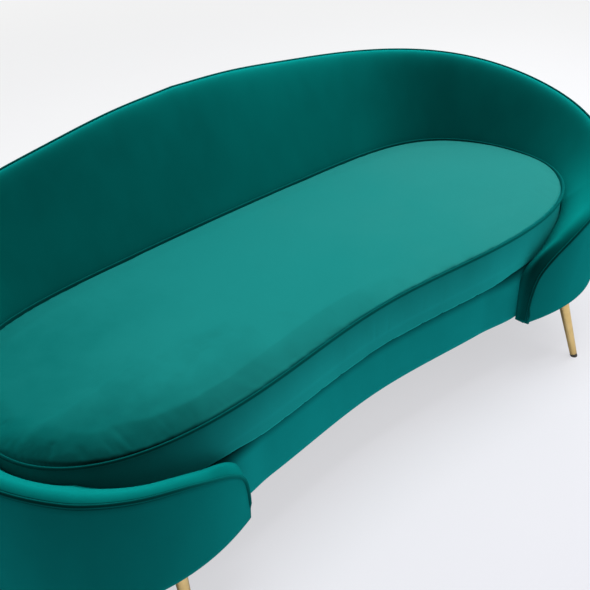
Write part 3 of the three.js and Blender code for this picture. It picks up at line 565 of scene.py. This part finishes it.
def make_padding():
    """Velvet over the shell's padding, with a slot below for the base board and the back's frame."""
    st = shell_stations(SHELL_STATIONS, NOSE_STATIONS)
    offset, z, ahead = roll_points(st, ROLL_STEPS)
    zero = np.zeros_like(st.s)
    bottom = np.where(st.cavity > 0, BOARD_TOP + FIT_GAP, SHELL_BOTTOM)
    top = st.rail_top + FIT_GAP
    panel = st.panel(st.rail_top)
    rail_side = np.where(st.cavity > 0, panel - RAIL_DEPTH, panel) - FIT_GAP

    def rear(height):
        return np.where(st.cavity > 0, SHELL_CLEARANCE + PAD_THICKNESS, st.panel(height))

    lower = [(zero + SHELL_CLEARANCE, lerp(bottom, st.contact, k)) for k in (0, 0.25, 0.5, 0.75)]
    upper = [
        (st.panel(st.shoulder), st.shoulder), (st.panel(top), top), (rail_side, top),
        (rear(st.contact), np.minimum(st.contact, top - 1)), (rear(bottom), bottom),
    ]
    columns = [at(st.s, o, h, st.lead) for o, h in lower]
    columns += [at(st.s, offset[:, i], z[:, i], ahead[:, i]) for i in range(offset.shape[1])]
    columns += [at(st.s, o, h) for o, h in upper]
    rows = np.stack(columns, axis=1)
    obj = make_object("shell_padding_velvet", *skin(rows), "velvet_inside")
    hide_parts(*(f"shell_padding_{part}" for part in ("left", "back", "right")))


def make_outside():
    """Velvet over the shell's outside, from its hem up to the seam beside the crest welt."""
    st = shell_stations(SHELL_STATIONS, 0)
    foot = st.face(SHELL_BOTTOM)
    columns = [(foot - HEM_TURN, SHELL_BOTTOM), (foot, SHELL_BOTTOM + HEM_ROUND)]
    for k in np.linspace(0, 1, 22)[1:-1]:
        height = lerp(SHELL_BOTTOM, st.shoulder, k)
        columns.append((st.face(height) + OUTSIDE_BELLY * np.sin(np.pi * k), height))
    columns += [
        (st.face(st.shoulder), st.shoulder), (st.valley, st.crest - SEAM_GAP),
        (st.face(st.shoulder) - PANEL_THICKNESS, st.shoulder),
        (foot - PANEL_THICKNESS, SHELL_BOTTOM),
    ]
    rows = np.stack([at(st.s, o, h + 0 * st.s) for o, h in columns], axis=1)
    obj = make_object("shell_outside_velvet", *skin(rows), "velvet_outside")
    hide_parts("shell_outside_left", "shell_outside_right")


def cord_rows(centres, outwards, radius, closed=False):
    """Rings of points round a run of centres, for a welt."""
    if closed:
        run = np.roll(centres, -1, axis=0) - np.roll(centres, 1, axis=0)
    else:
        run = np.gradient(centres, axis=0)
    run /= np.linalg.norm(run, axis=1)[:, None]
    out = outwards - run * np.sum(outwards * run, axis=1)[:, None]
    out /= np.linalg.norm(out, axis=1)[:, None]
    across = np.cross(run, out)
    angles = (2 * np.pi * np.arange(WELT_SIDES) / WELT_SIDES)[None, :, None]
    ring = out[:, None] * np.cos(angles) + across[:, None] * np.sin(angles)
    return centres[:, None] + radius * ring


def make_shell_welt():
    """Welt along the crest, pressed against the padding, and down the end of each arm."""
    st = shell_stations(WELT_STATIONS, 0)
    keep = slice(1, -1)
    offset = (st.valley + WELT_RADIUS - WELT_PRESS)[keep]
    centres = at(st.s[keep], offset, st.crest[keep])
    foot_z = np.array([SHELL_BOTTOM + WELT_RADIUS, lerp(SHELL_BOTTOM, st.crest[-1], WELT_FOOT_SHARE)])
    reach = WELT_RADIUS + 2 * FIT_GAP
    foot_offset = st.face(0)[-1] + SHELL_LEAN * foot_z + reach
    left_end, right_end = np.full(2, -WRAP - LEFT_REACH), np.full(2, WRAP)
    left, right = at(left_end, foot_offset, foot_z), at(right_end, foot_offset, foot_z)
    run = np.vstack([left, centres, right[::-1]])
    lengths = np.concatenate([left_end, st.s[keep], right_end])
    outwards = at(lengths, 1.0, 0.0) - at(lengths, 0.0, 0.0)
    rows = cord_rows(run, outwards, WELT_RADIUS)
    obj = make_object("shell_welt_piping", *skin(rows), "piping")
    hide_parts("shell_welt")


# Base
def loop_lengths(count):
    """Evenly spaced lengths round the whole seat outline, from the front centre."""
    return -HALF_LENGTH + 2 * HALF_LENGTH * np.arange(count) / count


def set_back(s):
    """How far the base stands back under the cushion along the open front."""
    return FRONT_OVERHANG * smoothstep(np.abs(s), WRAP, WRAP + OVERHANG_RAMP)


def make_band():
    """Velvet round the base, with a little belly."""
    s = loop_lengths(BAND_STATIONS)
    bottom = np.where(np.abs(s) < POST + FIT_GAP, BOARD_TOP + FIT_GAP, LEG_HEIGHT)
    belly = [
        (BAND_BELLY * math.sin(math.pi * k), k) for k in np.linspace(BAND_BELLY_FROM, BAND_BELLY_TO, 12)]
    outer = BAND_FOOT + belly + BAND_TOP
    rim = [(o - set_back(s), lerp(bottom, DECK_PAD_TOP, k)) for o, k in outer]
    rim += [(-BAND_THICKNESS - set_back(s), lerp(bottom, DECK_PAD_TOP, k)) for k in (1, 0)]
    rows = np.stack([at(s, o, z) for o, z in rim], axis=1)
    obj = make_object("seat_band_velvet", *skin(rows, closed_run=True), "velvet_base")
    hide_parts("seat_band")


def frame_edge(s):
    """Offset of the wooden base and the deck pad inside the band."""
    return -set_back(s) - BAND_THICKNESS - 2 * FIT_GAP


def make_deck():
    """Felt pad over the springs, its rim pressed under the velvet border, its top a little uneven."""
    s = loop_lengths(DECK_STATIONS)
    pressed = DECK_PAD_TOP - FELT_PRESS
    rim = [
        (-FELT_TURN, DECK_PAD_BOTTOM), (-FELT_INSET, DECK_PAD_BOTTOM + FELT_ROUND),
        (-FELT_INSET, pressed - FELT_ROUND), (-FELT_TURN, pressed),
    ]
    rows = [at(s, frame_edge(s) + o, z + 0 * s) for o, z in rim]
    middle = np.array([0, SHIFT, 0])
    for k in (0.96, 0.85, 0.7, 0.5, 0.3, 0.12):
        ring = rows[3] * k + middle * (1 - k)
        rise = smoothstep(1 - k, 0.02, 0.22)
        height = DECK_PAD_TOP - FELT_DIP - FELT_DIP * wave(ring, FELT_WAVE, FELT_SEED)
        ring[:, 2] = lerp(pressed, height, rise)
        rows.append(ring)
    obj = make_object("deck_pad_felt", np.vstack(rows), ring_faces(len(rows), len(s)), "felt")
    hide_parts("deck_pad")


def make_deck_border():
    """Velvet turned over the edge of the deck, seen in the gap under the cushion."""
    s = loop_lengths(DECK_STATIONS)
    foot = DECK_PAD_TOP - BORDER_THICKNESS
    rows = np.stack([at(s, frame_edge(s) + o, foot + h) for o, h in BORDER_PROFILE], axis=1)
    obj = make_object("deck_border_velvet", *skin(rows, closed_run=True), "velvet_outside")
    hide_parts("deck_pad")


def board_edge(s):
    """Offset of the base board's edge from the seat outline, which the dust cover follows."""
    taper = np.clip((WRAP - np.abs(s)) / ARM_TAPER_LENGTH, 0, 1)
    full = lerp(ARM_END_THICKNESS, SHELL_THICKNESS, 1 - (1 - taper) ** ARM_TAPER_SHARE)
    carried = full + SHELL_LEAN * (BOARD_BOTTOM - SHELL_BOTTOM) - PANEL_THICKNESS - 2 * FIT_GAP
    return np.where(np.abs(s) < POST + FIT_GAP, carried, frame_edge(s))


def make_dust_cover():
    """Thin black cloth stapled under the base board, with a hem and a little slack between staples."""
    s = loop_lengths(COVER_STATIONS)
    edge = board_edge(s) - COVER_INSET
    slack = 0.5 * (1 - np.cos(2 * np.pi * np.arange(len(s)) / STAPLE_PITCH))
    under = LEG_HEIGHT + COVER_GAP
    inner = under + FIT_GAP
    rim = [(0, under + COVER_TURN), (-COVER_TURN, under), (-COVER_HEM, under), (-COVER_HEM - 1, inner)]
    rows = [at(s, edge + o, z + 0 * s) for o, z in rim]
    rows[1][:, 2] += COVER_SLACK * slack
    middle = np.array([0, SHIFT, 0])
    for k in (0.93, 0.8, 0.6, 0.4, 0.2, 0.06):
        ring = rows[3] * k + middle * (1 - k)
        uneven = 0.75 + 0.25 * wave(ring, COVER_WAVE, COVER_SEED)
        ring[:, 2] = inner - COVER_SAG * (1 - k**2) * uneven
        rows.append(ring)
    faces = ring_faces(len(rows), len(s), cap_first=False)
    obj = make_object("dust_cover_cloth", np.vstack(rows), faces, "black_cloth")
    thick = obj.modifiers.new("thickness", "SOLIDIFY")
    thick.thickness = COVER_THICKNESS * MM
    thick.offset = 0
    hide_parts("dust_cover")
    make_staples(s, edge)


def make_staples(s, edge):
    """Staples along the hem of the dust cover, one at each low point of its edge."""
    points, faces = [], []
    sides = len(STAPLE_PROFILE)
    for i in range(0, len(s), STAPLE_PITCH):
        inset = edge[i:i + 1] - STAPLE_INSET
        height = LEG_HEIGHT + STAPLE_HEIGHT
        place, beside = (at(s[i:i + 1] + step, inset, height)[0] for step in (0, 1))
        along = beside - place
        along /= np.linalg.norm(along)
        across = np.array([-along[1], along[0], 0])
        near = len(points)
        far = near + sides
        for side in (-STAPLE_HALF_WIDTH, STAPLE_HALF_WIDTH):
            points += [place + along * a + across * side + [0, 0, z] for a, z in STAPLE_PROFILE]
        faces.append(tuple(near + k for k in range(sides)))
        faces.append(tuple(far + sides - 1 - k for k in range(sides)))
        turns = [(k, (k + 1) % sides) for k in range(sides)]
        faces += [(near + a, near + b, far + b, far + a) for a, b in turns]
    make_object("dust_cover_staples", points, faces, "steel", smooth=False)


# Legs
def leaning_lathe(name, profile, top, lean, slot, level_top=None, level_foot=None):
    """Turned piece round an axis that leans from its top, its ends cut level where a height is given."""
    lean = np.asarray(lean) / np.linalg.norm(lean)
    across = np.cross(lean, [0, 0, 1.0])
    across /= np.linalg.norm(across)
    other = np.cross(lean, across)
    angles = (2 * np.pi * np.arange(LEG_SIDES) / LEG_SIDES)[:, None]
    ring = across * np.cos(angles) + other * np.sin(angles)
    rows = [top + lean * down + radius * ring for radius, down in profile]
    for level, side in ((level_top, 1), (level_foot, -1)):
        if level is None:
            continue
        for row in rows:
            over = side * (row[:, 2] - level) > 0
            row[over] += lean * ((level - row[over, 2]) / lean[2])[:, None]
    return make_object(name, *skin(rows), slot)


def make_legs():
    """Four splayed legs, each with the plate above it and the glide below it."""
    foot = MOUNT_BOTTOM / math.cos(LEG_SPLAY) - GLIDE_HEIGHT
    shares = np.linspace(0, 1, 14)
    tube = [(LEG_TOP_RADIUS, -6.0)]
    tube += [(lerp(LEG_TOP_RADIUS, LEG_FOOT_RADIUS, k), lerp(0, foot - 0.8, k)) for k in shares]
    tube += [(radius, foot + down) for radius, down in LEG_FOOT_PROFILE]
    cap = [(radius, foot + down) for radius, down in GLIDE_PROFILE]
    kinds = (
        ("front", -1, WRAP - FRONT_LEG_FROM_END, FRONT_LEG_INSET),
        ("back", 1, BACK_LEG_FROM_CENTRE, BACK_LEG_INSET),
    )
    for end, facing, length, inset in kinds:
        st = Stations([length], [SHELL_BOTTOM], [1], [0])
        place = at([length], st.full - inset, MOUNT_BOTTOM)[0]
        for side, sign in (("left", -1), ("right", 1)):
            top = place * [sign, 1, 1]
            turn = np.array([sign * math.sin(LEG_TURN), facing * math.cos(LEG_TURN), 0])
            lean = turn * math.sin(LEG_SPLAY)
            lean[2] = -math.cos(LEG_SPLAY)
            leg_name = f"{end}_{side}"
            leg = leaning_lathe(f"leg_{leg_name}_gold", tube, top, lean, "gold_metal", LEG_TOP)
            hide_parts(f"leg_{leg_name}")
            glide = leaning_lathe(f"glide_{leg_name}_cap", cap, top, lean, "glide", None, FLOOR_GAP)
            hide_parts(f"glide_{leg_name}")
            mount = leaning_lathe(f"leg_mount_{leg_name}_plate", MOUNT_PROFILE, top, DOWN, "steel")
            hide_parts(f"leg_mount_{leg_name}")


# Cushion
def droop(s):
    """How far the rim hangs over the set-back base along the open front."""
    return RIM_DROOP * smoothstep(np.abs(s), WRAP + DROOP_FROM, WRAP + DROOP_TO)


def side_profile():
    """Offset, height and share of the droop from the underside's rim up to the top seam."""
    profile = [(-UNDERSIDE_INSET, DECK_HEIGHT, 0.0)]
    for a in np.linspace(0, math.pi / 2, 5):
        height = DECK_HEIGHT + RIM_ROUND * (1 - math.cos(a))
        profile.append((RIM_ROUND * (math.sin(a) - 1), height, 1.0))
    for k in np.linspace(0, 1, 20)[1:]:
        pinch = SEAM_PINCH * math.exp(-(1 - k) * PINCH_RATE)
        swell = SIDE_SWELL * math.sin(math.pi * k) - SIDE_LEAN * k - pinch
        profile.append((swell, lerp(DECK_HEIGHT + RIM_ROUND, SEAT_HEIGHT - 2 * SEAM_STEP, k), 1 - k))
    return profile


def cushion_top(inset, s):
    """Height of the crowned top over the seam at an inset from the outline, fullest at the corners."""
    edge = np.interp(np.abs(s), CROWN_LENGTHS, CROWN_EDGES)
    middle = (CUSHION_CROWN - edge) * smoothstep(inset, CROWN_FROM, CROWN_TO)
    return edge * (1 - np.exp(-inset / CROWN_FALL)) + middle


def cushion_rows():
    """Rings of points from the cushion's underside, up its side and over the crown to the middle."""
    s = loop_lengths(CUSHION_STATIONS)
    seam = SEAT_HEIGHT - SEAM_STEP
    rows = [at(s, o - CUSHION_INSET, z - share * droop(s)) for o, z, share in side_profile()]
    rows += [at(s, -CUSHION_INSET - d, seam + cushion_top(d, s)) for d in CROWN_INSETS]
    inner, widest = rows[-1], CROWN_INSETS[-1]
    middle = np.array([0, SHIFT + 6, 0])
    for k in (0.85, 0.65, 0.45, 0.25, 0.08):
        ring = inner * k + middle * (1 - k)
        ring[:, 2] = seam + cushion_top(widest + (1 - k) * (CROWN_TO - widest), s)
        rows.append(ring)
    return rows


def make_cushion():
    """Seat cushion in velvet, filled out by a short cloth simulation."""
    rows = cushion_rows()
    faces = ring_faces(len(rows), len(rows[0]))
    obj = make_object("seat_cushion_velvet", np.vstack(rows), faces, "velvet_top", body="cushion")
    inflate(obj)
    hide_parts("seat_cushion")


def mesh_points(obj):
    flat = np.zeros(len(obj.data.vertices) * 3, np.float32)
    obj.data.vertices.foreach_get("co", flat)
    return flat.reshape(-1, 3).astype(float) / MM


def set_points(obj, points):
    obj.data.vertices.foreach_set("co", (points * MM).astype(np.float32).ravel())
    obj.data.update()


def outline_offsets(points):
    """Distance outwards from the seat outline for each point, the way outwards, and its length along."""
    s = loop_lengths(FINE_STATIONS)
    places = at(s, 0.0, 0.0)
    outward = at(s, 1.0, 0.0) - places
    tree = kdtree.KDTree(len(places))
    for i, p in enumerate(places):
        tree.insert((p[0], p[1], 0), i)
    tree.balance()
    found = np.array([tree.find((x, y, 0))[1] for x, y in points[:, :2]])
    gap = points - places[found]
    return np.sum(gap[:, :2] * outward[found][:, :2], axis=1), outward[found], s[found]


def modifier_apply(obj, modifier):
    bpy.context.view_layer.objects.active = obj
    with bpy.context.temp_override(object=obj, active_object=obj, selected_objects=[obj]):
        bpy.ops.object.modifier_apply(modifier=modifier.name)


def inflate(obj):
    """Voxel remesh, a short cloth inflation with the seams held, and the groove for the piping."""
    remesh = obj.modifiers.new("remesh", "REMESH")
    remesh.mode = "VOXEL"
    remesh.voxel_size = VOXEL
    remesh.use_smooth_shade = True
    modifier_apply(obj, remesh)
    start = mesh_points(obj)
    offset = outline_offsets(start)[0]
    simulate(obj, start, offset)
    step = mesh_points(obj) - start
    size = np.linalg.norm(step, axis=1)
    give = np.where(start[:, 2] > SEAT_HEIGHT - 4, TOP_GIVE, SIDE_GIVE)
    step *= np.minimum(1, give / np.maximum(size, TINY))[:, None]
    shaped = start + step
    uneven = CROWN_WAVE * wave(shaped, CROWN_WAVE_SIZE, CROWN_SEED)
    shaped[:, 2] += np.where(start[:, 2] > SEAT_HEIGHT + 3, uneven, 0)
    set_points(obj, groove(shaped))
    for polygon in obj.data.polygons:
        polygon.use_smooth = True
    detail = obj.modifiers.new("fine", "SUBSURF")
    detail.levels = detail.render_levels = 1
    modifier_apply(obj, detail)
    shaped = groove(mesh_points(obj))
    set_points(obj, shaped)
    # The cushion's side gets its own copy of the velvet, with its own painted light and shade apart from
    # the top's.
    obj.data.materials.append(MATERIALS["velvet_side"])
    for polygon in obj.data.polygons:
        low = shaped[list(polygon.vertices), 2].max() < SEAT_HEIGHT + 1
        polygon.material_index = 1 if low else 0


def groove(points):
    """Keeps the cushion inside its outline and clear of the piping that lies along its top seam."""
    offset, outward, s = outline_offsets(points)
    limit = lerp(BACK_LIMIT, FRONT_LIMIT, smoothstep(np.abs(s), WRAP, WRAP + LIMIT_RAMP))
    points = points - outward * np.maximum(offset - limit, 0)[:, None]
    offset = np.minimum(offset, limit)
    centre = np.array([CUSHION_WELT_RADIUS + FIT_GAP - CUSHION_WELT_SINK, SEAT_HEIGHT])
    gap = np.stack([offset - centre[0], points[:, 2] - centre[1]], axis=1)
    away = np.linalg.norm(gap, axis=1)
    clear = CUSHION_WELT_RADIUS + GROOVE_GAP
    push = np.maximum(clear - away, 0)[:, None] * gap / np.maximum(away, TINY)[:, None]
    points += outward * push[:, :1]
    points[:, 2] += push[:, 1]
    points[:, 2] = np.minimum(points[:, 2], SEAT_HEIGHT + CUSHION_CROWN + CROWN_MARGIN)
    return true_rim(points)


def true_rim(points):
    """Lays the lowest points on the profile of the side, so that the rim runs in one clean line."""
    offset, outward, s = outline_offsets(points)
    low = np.nonzero(points[:, 2] < DECK_HEIGHT + RIM_BAND)[0]
    profile = np.array([(-UNDERSIDE_REACH, DECK_HEIGHT + 0.1, 0.0), *side_profile()])
    steps = np.linspace(0, len(profile) - 1, PROFILE_SAMPLES)
    out, up, share = (np.interp(steps, np.arange(len(profile)), profile[:, k]) for k in range(3))
    out -= CUSHION_INSET
    for part in np.array_split(low, max(1, len(low) // CHUNK)):
        heights = up - share * droop(s[part])[:, None]
        far = (out - offset[part, None]) ** 2 + (heights - points[part, 2, None]) ** 2
        found = np.argmin(far, axis=1)
        weight = 1 - smoothstep(points[part, 2], DECK_HEIGHT + RIM_BAND / 2, DECK_HEIGHT + RIM_BAND)
        move = weight * (out[found] - offset[part])
        points[part] += outward[part] * move[:, None]
        lift = heights[np.arange(len(part)), found] - points[part, 2]
        points[part, 2] += weight * lift
    return points


def simulate(obj, start, offset):
    """Cloth under light pressure, with the top seam and the underside held."""
    pins = obj.vertex_groups.new(name="seams")
    seam = (np.abs(start[:, 2] - SEAT_HEIGHT) < SEAM_HOLD) & (offset > -SEAM_HOLD_INSET)
    under = start[:, 2] < DECK_HEIGHT + UNDERSIDE_HOLD
    pins.add([int(i) for i in np.nonzero(seam | under)[0]], 1.0, "REPLACE")
    cloth = obj.modifiers.new("cloth", "CLOTH")
    settings = cloth.settings
    settings.quality = 4
    settings.mass = 0.25
    settings.tension_stiffness = settings.compression_stiffness = 18
    settings.shear_stiffness = 6
    settings.bending_stiffness = 2
    settings.use_pressure = True
    settings.uniform_pressure_force = 4
    settings.vertex_group_mass = "seams"
    settings.effector_weights.gravity = 0
    cloth.collision_settings.use_collision = False
    scene = bpy.context.scene
    for number in range(1, CLOTH_FRAMES + 1):
        scene.frame_set(number)
    modifier_apply(obj, cloth)
    scene.frame_set(1)


def make_cushion_welt():
    """Welt round the cushion's top seam."""
    s = loop_lengths(CUSHION_WELT_STATIONS)
    offset = CUSHION_WELT_RADIUS + FIT_GAP - CUSHION_WELT_SINK
    centres = at(s, offset, SEAT_HEIGHT + 0 * s)
    outwards = at(s, 1.0, 0.0) - at(s, 0.0, 0.0)
    rows = cord_rows(centres, outwards, CUSHION_WELT_RADIUS, closed=True)
    obj = make_object("cushion_welt_piping", *skin(rows, closed_run=True), "piping", body="cushion")
    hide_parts("cushion_welt")


# Stage, light and camera, in metres and watts, with the camera's place in millimetres before the shift
FLOOR_HALF, FLOOR_DROP, FLOOR_FADE, FLOOR_GLOW = 14, 0.0004, (2.2, 5.5), 0.6
BACKDROP, AMBIENT = (0.93, 0.93, 0.93), 0.25
LAMP_SIZE, LAMP_TARGET = (2.2, 1.8), (0, 0, 0.3)
LAMPS = (
    ("overhead", (0, 0, 3.2), 50),
    ("right", (2.6, 0.2, 2.4), 43),
    ("front_right", (2.0, -2.2, 2.4), 25),
    ("rear", (0, 2.6, 2.6), 12),
    ("low_front", (-1.3, -3.2, 1.2), 10),
)
CAMERA_PLACE = (-1226.5952, -1404.0299, 1587.3870)
CAMERA_YAW, CAMERA_PITCH, CAMERA_ROLL = 0.7156093228, 0.5936843304, -0.0455154338
FOCAL_PIXELS, PHOTO_WIDTH, SENSOR_WIDTH = 917.4396835, 590, 36


def make_stage():
    """Pale floor that takes the sofa's shadow and fades to the backdrop's white away from it."""
    mesh = bpy.data.meshes.new("floor")
    corners = [(x * FLOOR_HALF, y * FLOOR_HALF, 0) for x, y in ((-1, -1), (1, -1), (1, 1), (-1, 1))]
    mesh.from_pydata(corners, [], [(0, 1, 2, 3)])
    floor = bpy.data.objects.new("floor", mesh)
    bpy.context.scene.collection.objects.link(floor)
    floor.location.z = -FLOOR_DROP
    material, tree, shader = new_material("floor", 0.7)
    cloud = noise_of(tree, place_of(tree), 1.5, 3.0, 0.6)
    colour = mix_colour(tree, cloud, (0.78, 0.79, 0.85), (0.81, 0.82, 0.87))
    tree.links.new(colour, shader.inputs["Base Color"])
    # Painted shade and light: the floor's tone is darker and bluer towards the front, where the sofa's
    # shade falls, and brighter than white behind it.
    depth = node(tree, "ShaderNodeSeparateXYZ", {0: place_of(tree)}).outputs["Y"]
    tone = mix_colour(tree, span_of(tree, depth, -1.6, 1.4), (0.85, 0.85, 0.91), (1.08, 1.08, 1.07))
    reach = node(tree, "ShaderNodeVectorMath", {0: place_of(tree)}, operation="LENGTH").outputs["Value"]
    tone = mix_colour(tree, span_of(tree, reach, *FLOOR_FADE), tone, BACKDROP)
    glow = node(tree, "ShaderNodeEmission", {"Color": tone, "Strength": 1.0})
    path = tree.nodes.new("ShaderNodeLightPath")
    lit = span_of(tree, reach, *FLOOR_FADE, FLOOR_GLOW, 1.0)
    share = maths(tree, "MULTIPLY", path.outputs["Is Camera Ray"], lit)
    mix = node(tree, "ShaderNodeMixShader", {0: share, 1: shader.outputs[0], 2: glow.outputs[0]})
    tree.links.new(mix.outputs[0], tree.nodes["Material Output"].inputs[0])
    mesh.materials.append(material)


def make_world():
    """Even light all round, and a plain backdrop where the camera, gloss or glass sees the world."""
    world = bpy.data.worlds.new("studio")
    bpy.context.scene.world = world
    world.use_nodes = True
    tree = world.node_tree
    tree.nodes.clear()
    output = tree.nodes.new("ShaderNodeOutputWorld")
    path = tree.nodes.new("ShaderNodeLightPath")
    ambient = node(tree, "ShaderNodeBackground", {"Color": (0.96, 0.98, 1, 1), "Strength": AMBIENT})
    white = node(tree, "ShaderNodeBackground", {"Color": (*BACKDROP, 1), "Strength": 1.0})
    seen = maths(tree, "MAXIMUM", path.outputs["Is Camera Ray"], path.outputs["Is Glossy Ray"])
    seen = maths(tree, "MAXIMUM", seen, path.outputs["Is Transmission Ray"])
    mix = node(tree, "ShaderNodeMixShader", {0: seen})
    tree.links.new(ambient.outputs[0], mix.inputs[1])
    tree.links.new(white.outputs[0], mix.inputs[2])
    tree.links.new(mix.outputs[0], output.inputs[0])


def make_lights():
    """Soft white lamps, each aimed at the middle of the seat."""
    for name, place, power in LAMPS:
        light = bpy.data.lights.new(name, "AREA")
        light.shape = "RECTANGLE"
        light.size, light.size_y = LAMP_SIZE
        light.energy = power
        obj = bpy.data.objects.new(name, light)
        bpy.context.scene.collection.objects.link(obj)
        obj.location = place
        obj.rotation_euler = (Vector(LAMP_TARGET) - Vector(place)).to_track_quat("-Z", "Y").to_euler()


def make_camera():
    """Camera at the photograph's viewing angle."""
    data = bpy.data.cameras.new("camera")
    camera = bpy.data.objects.new("camera", data)
    bpy.context.scene.collection.objects.link(camera)
    bpy.context.scene.camera = camera
    x, y, z = CAMERA_PLACE
    place = Vector((x, y + SHIFT, z)) * MM
    level = math.cos(CAMERA_PITCH)
    ahead = Vector((math.sin(CAMERA_YAW) * level, math.cos(CAMERA_YAW) * level, -math.sin(CAMERA_PITCH)))
    right = Vector((math.cos(CAMERA_YAW), -math.sin(CAMERA_YAW), 0))
    up = right.cross(ahead)
    c, s = math.cos(CAMERA_ROLL), math.sin(CAMERA_ROLL)
    side, top = c * right + s * up, -s * right + c * up
    turn = Matrix((side, top, -ahead)).transposed()
    camera.matrix_world = Matrix.Translation(place) @ turn.to_4x4()
    data.sensor_fit = "HORIZONTAL"
    data.sensor_width = SENSOR_WIDTH
    data.lens = SENSOR_WIDTH * FOCAL_PIXELS / PHOTO_WIDTH
    data.clip_start, data.clip_end = 0.05, 60


make_camera()
make_world()
make_lights()
make_stage()
make_padding()
make_outside()
make_shell_welt()
make_band()
make_deck()
make_deck_border()
make_dust_cover()
make_legs()
make_cushion()
make_cushion_welt()

bpy.context.scene.view_settings.view_transform = "Standard"
bpy.context.view_layer.update()
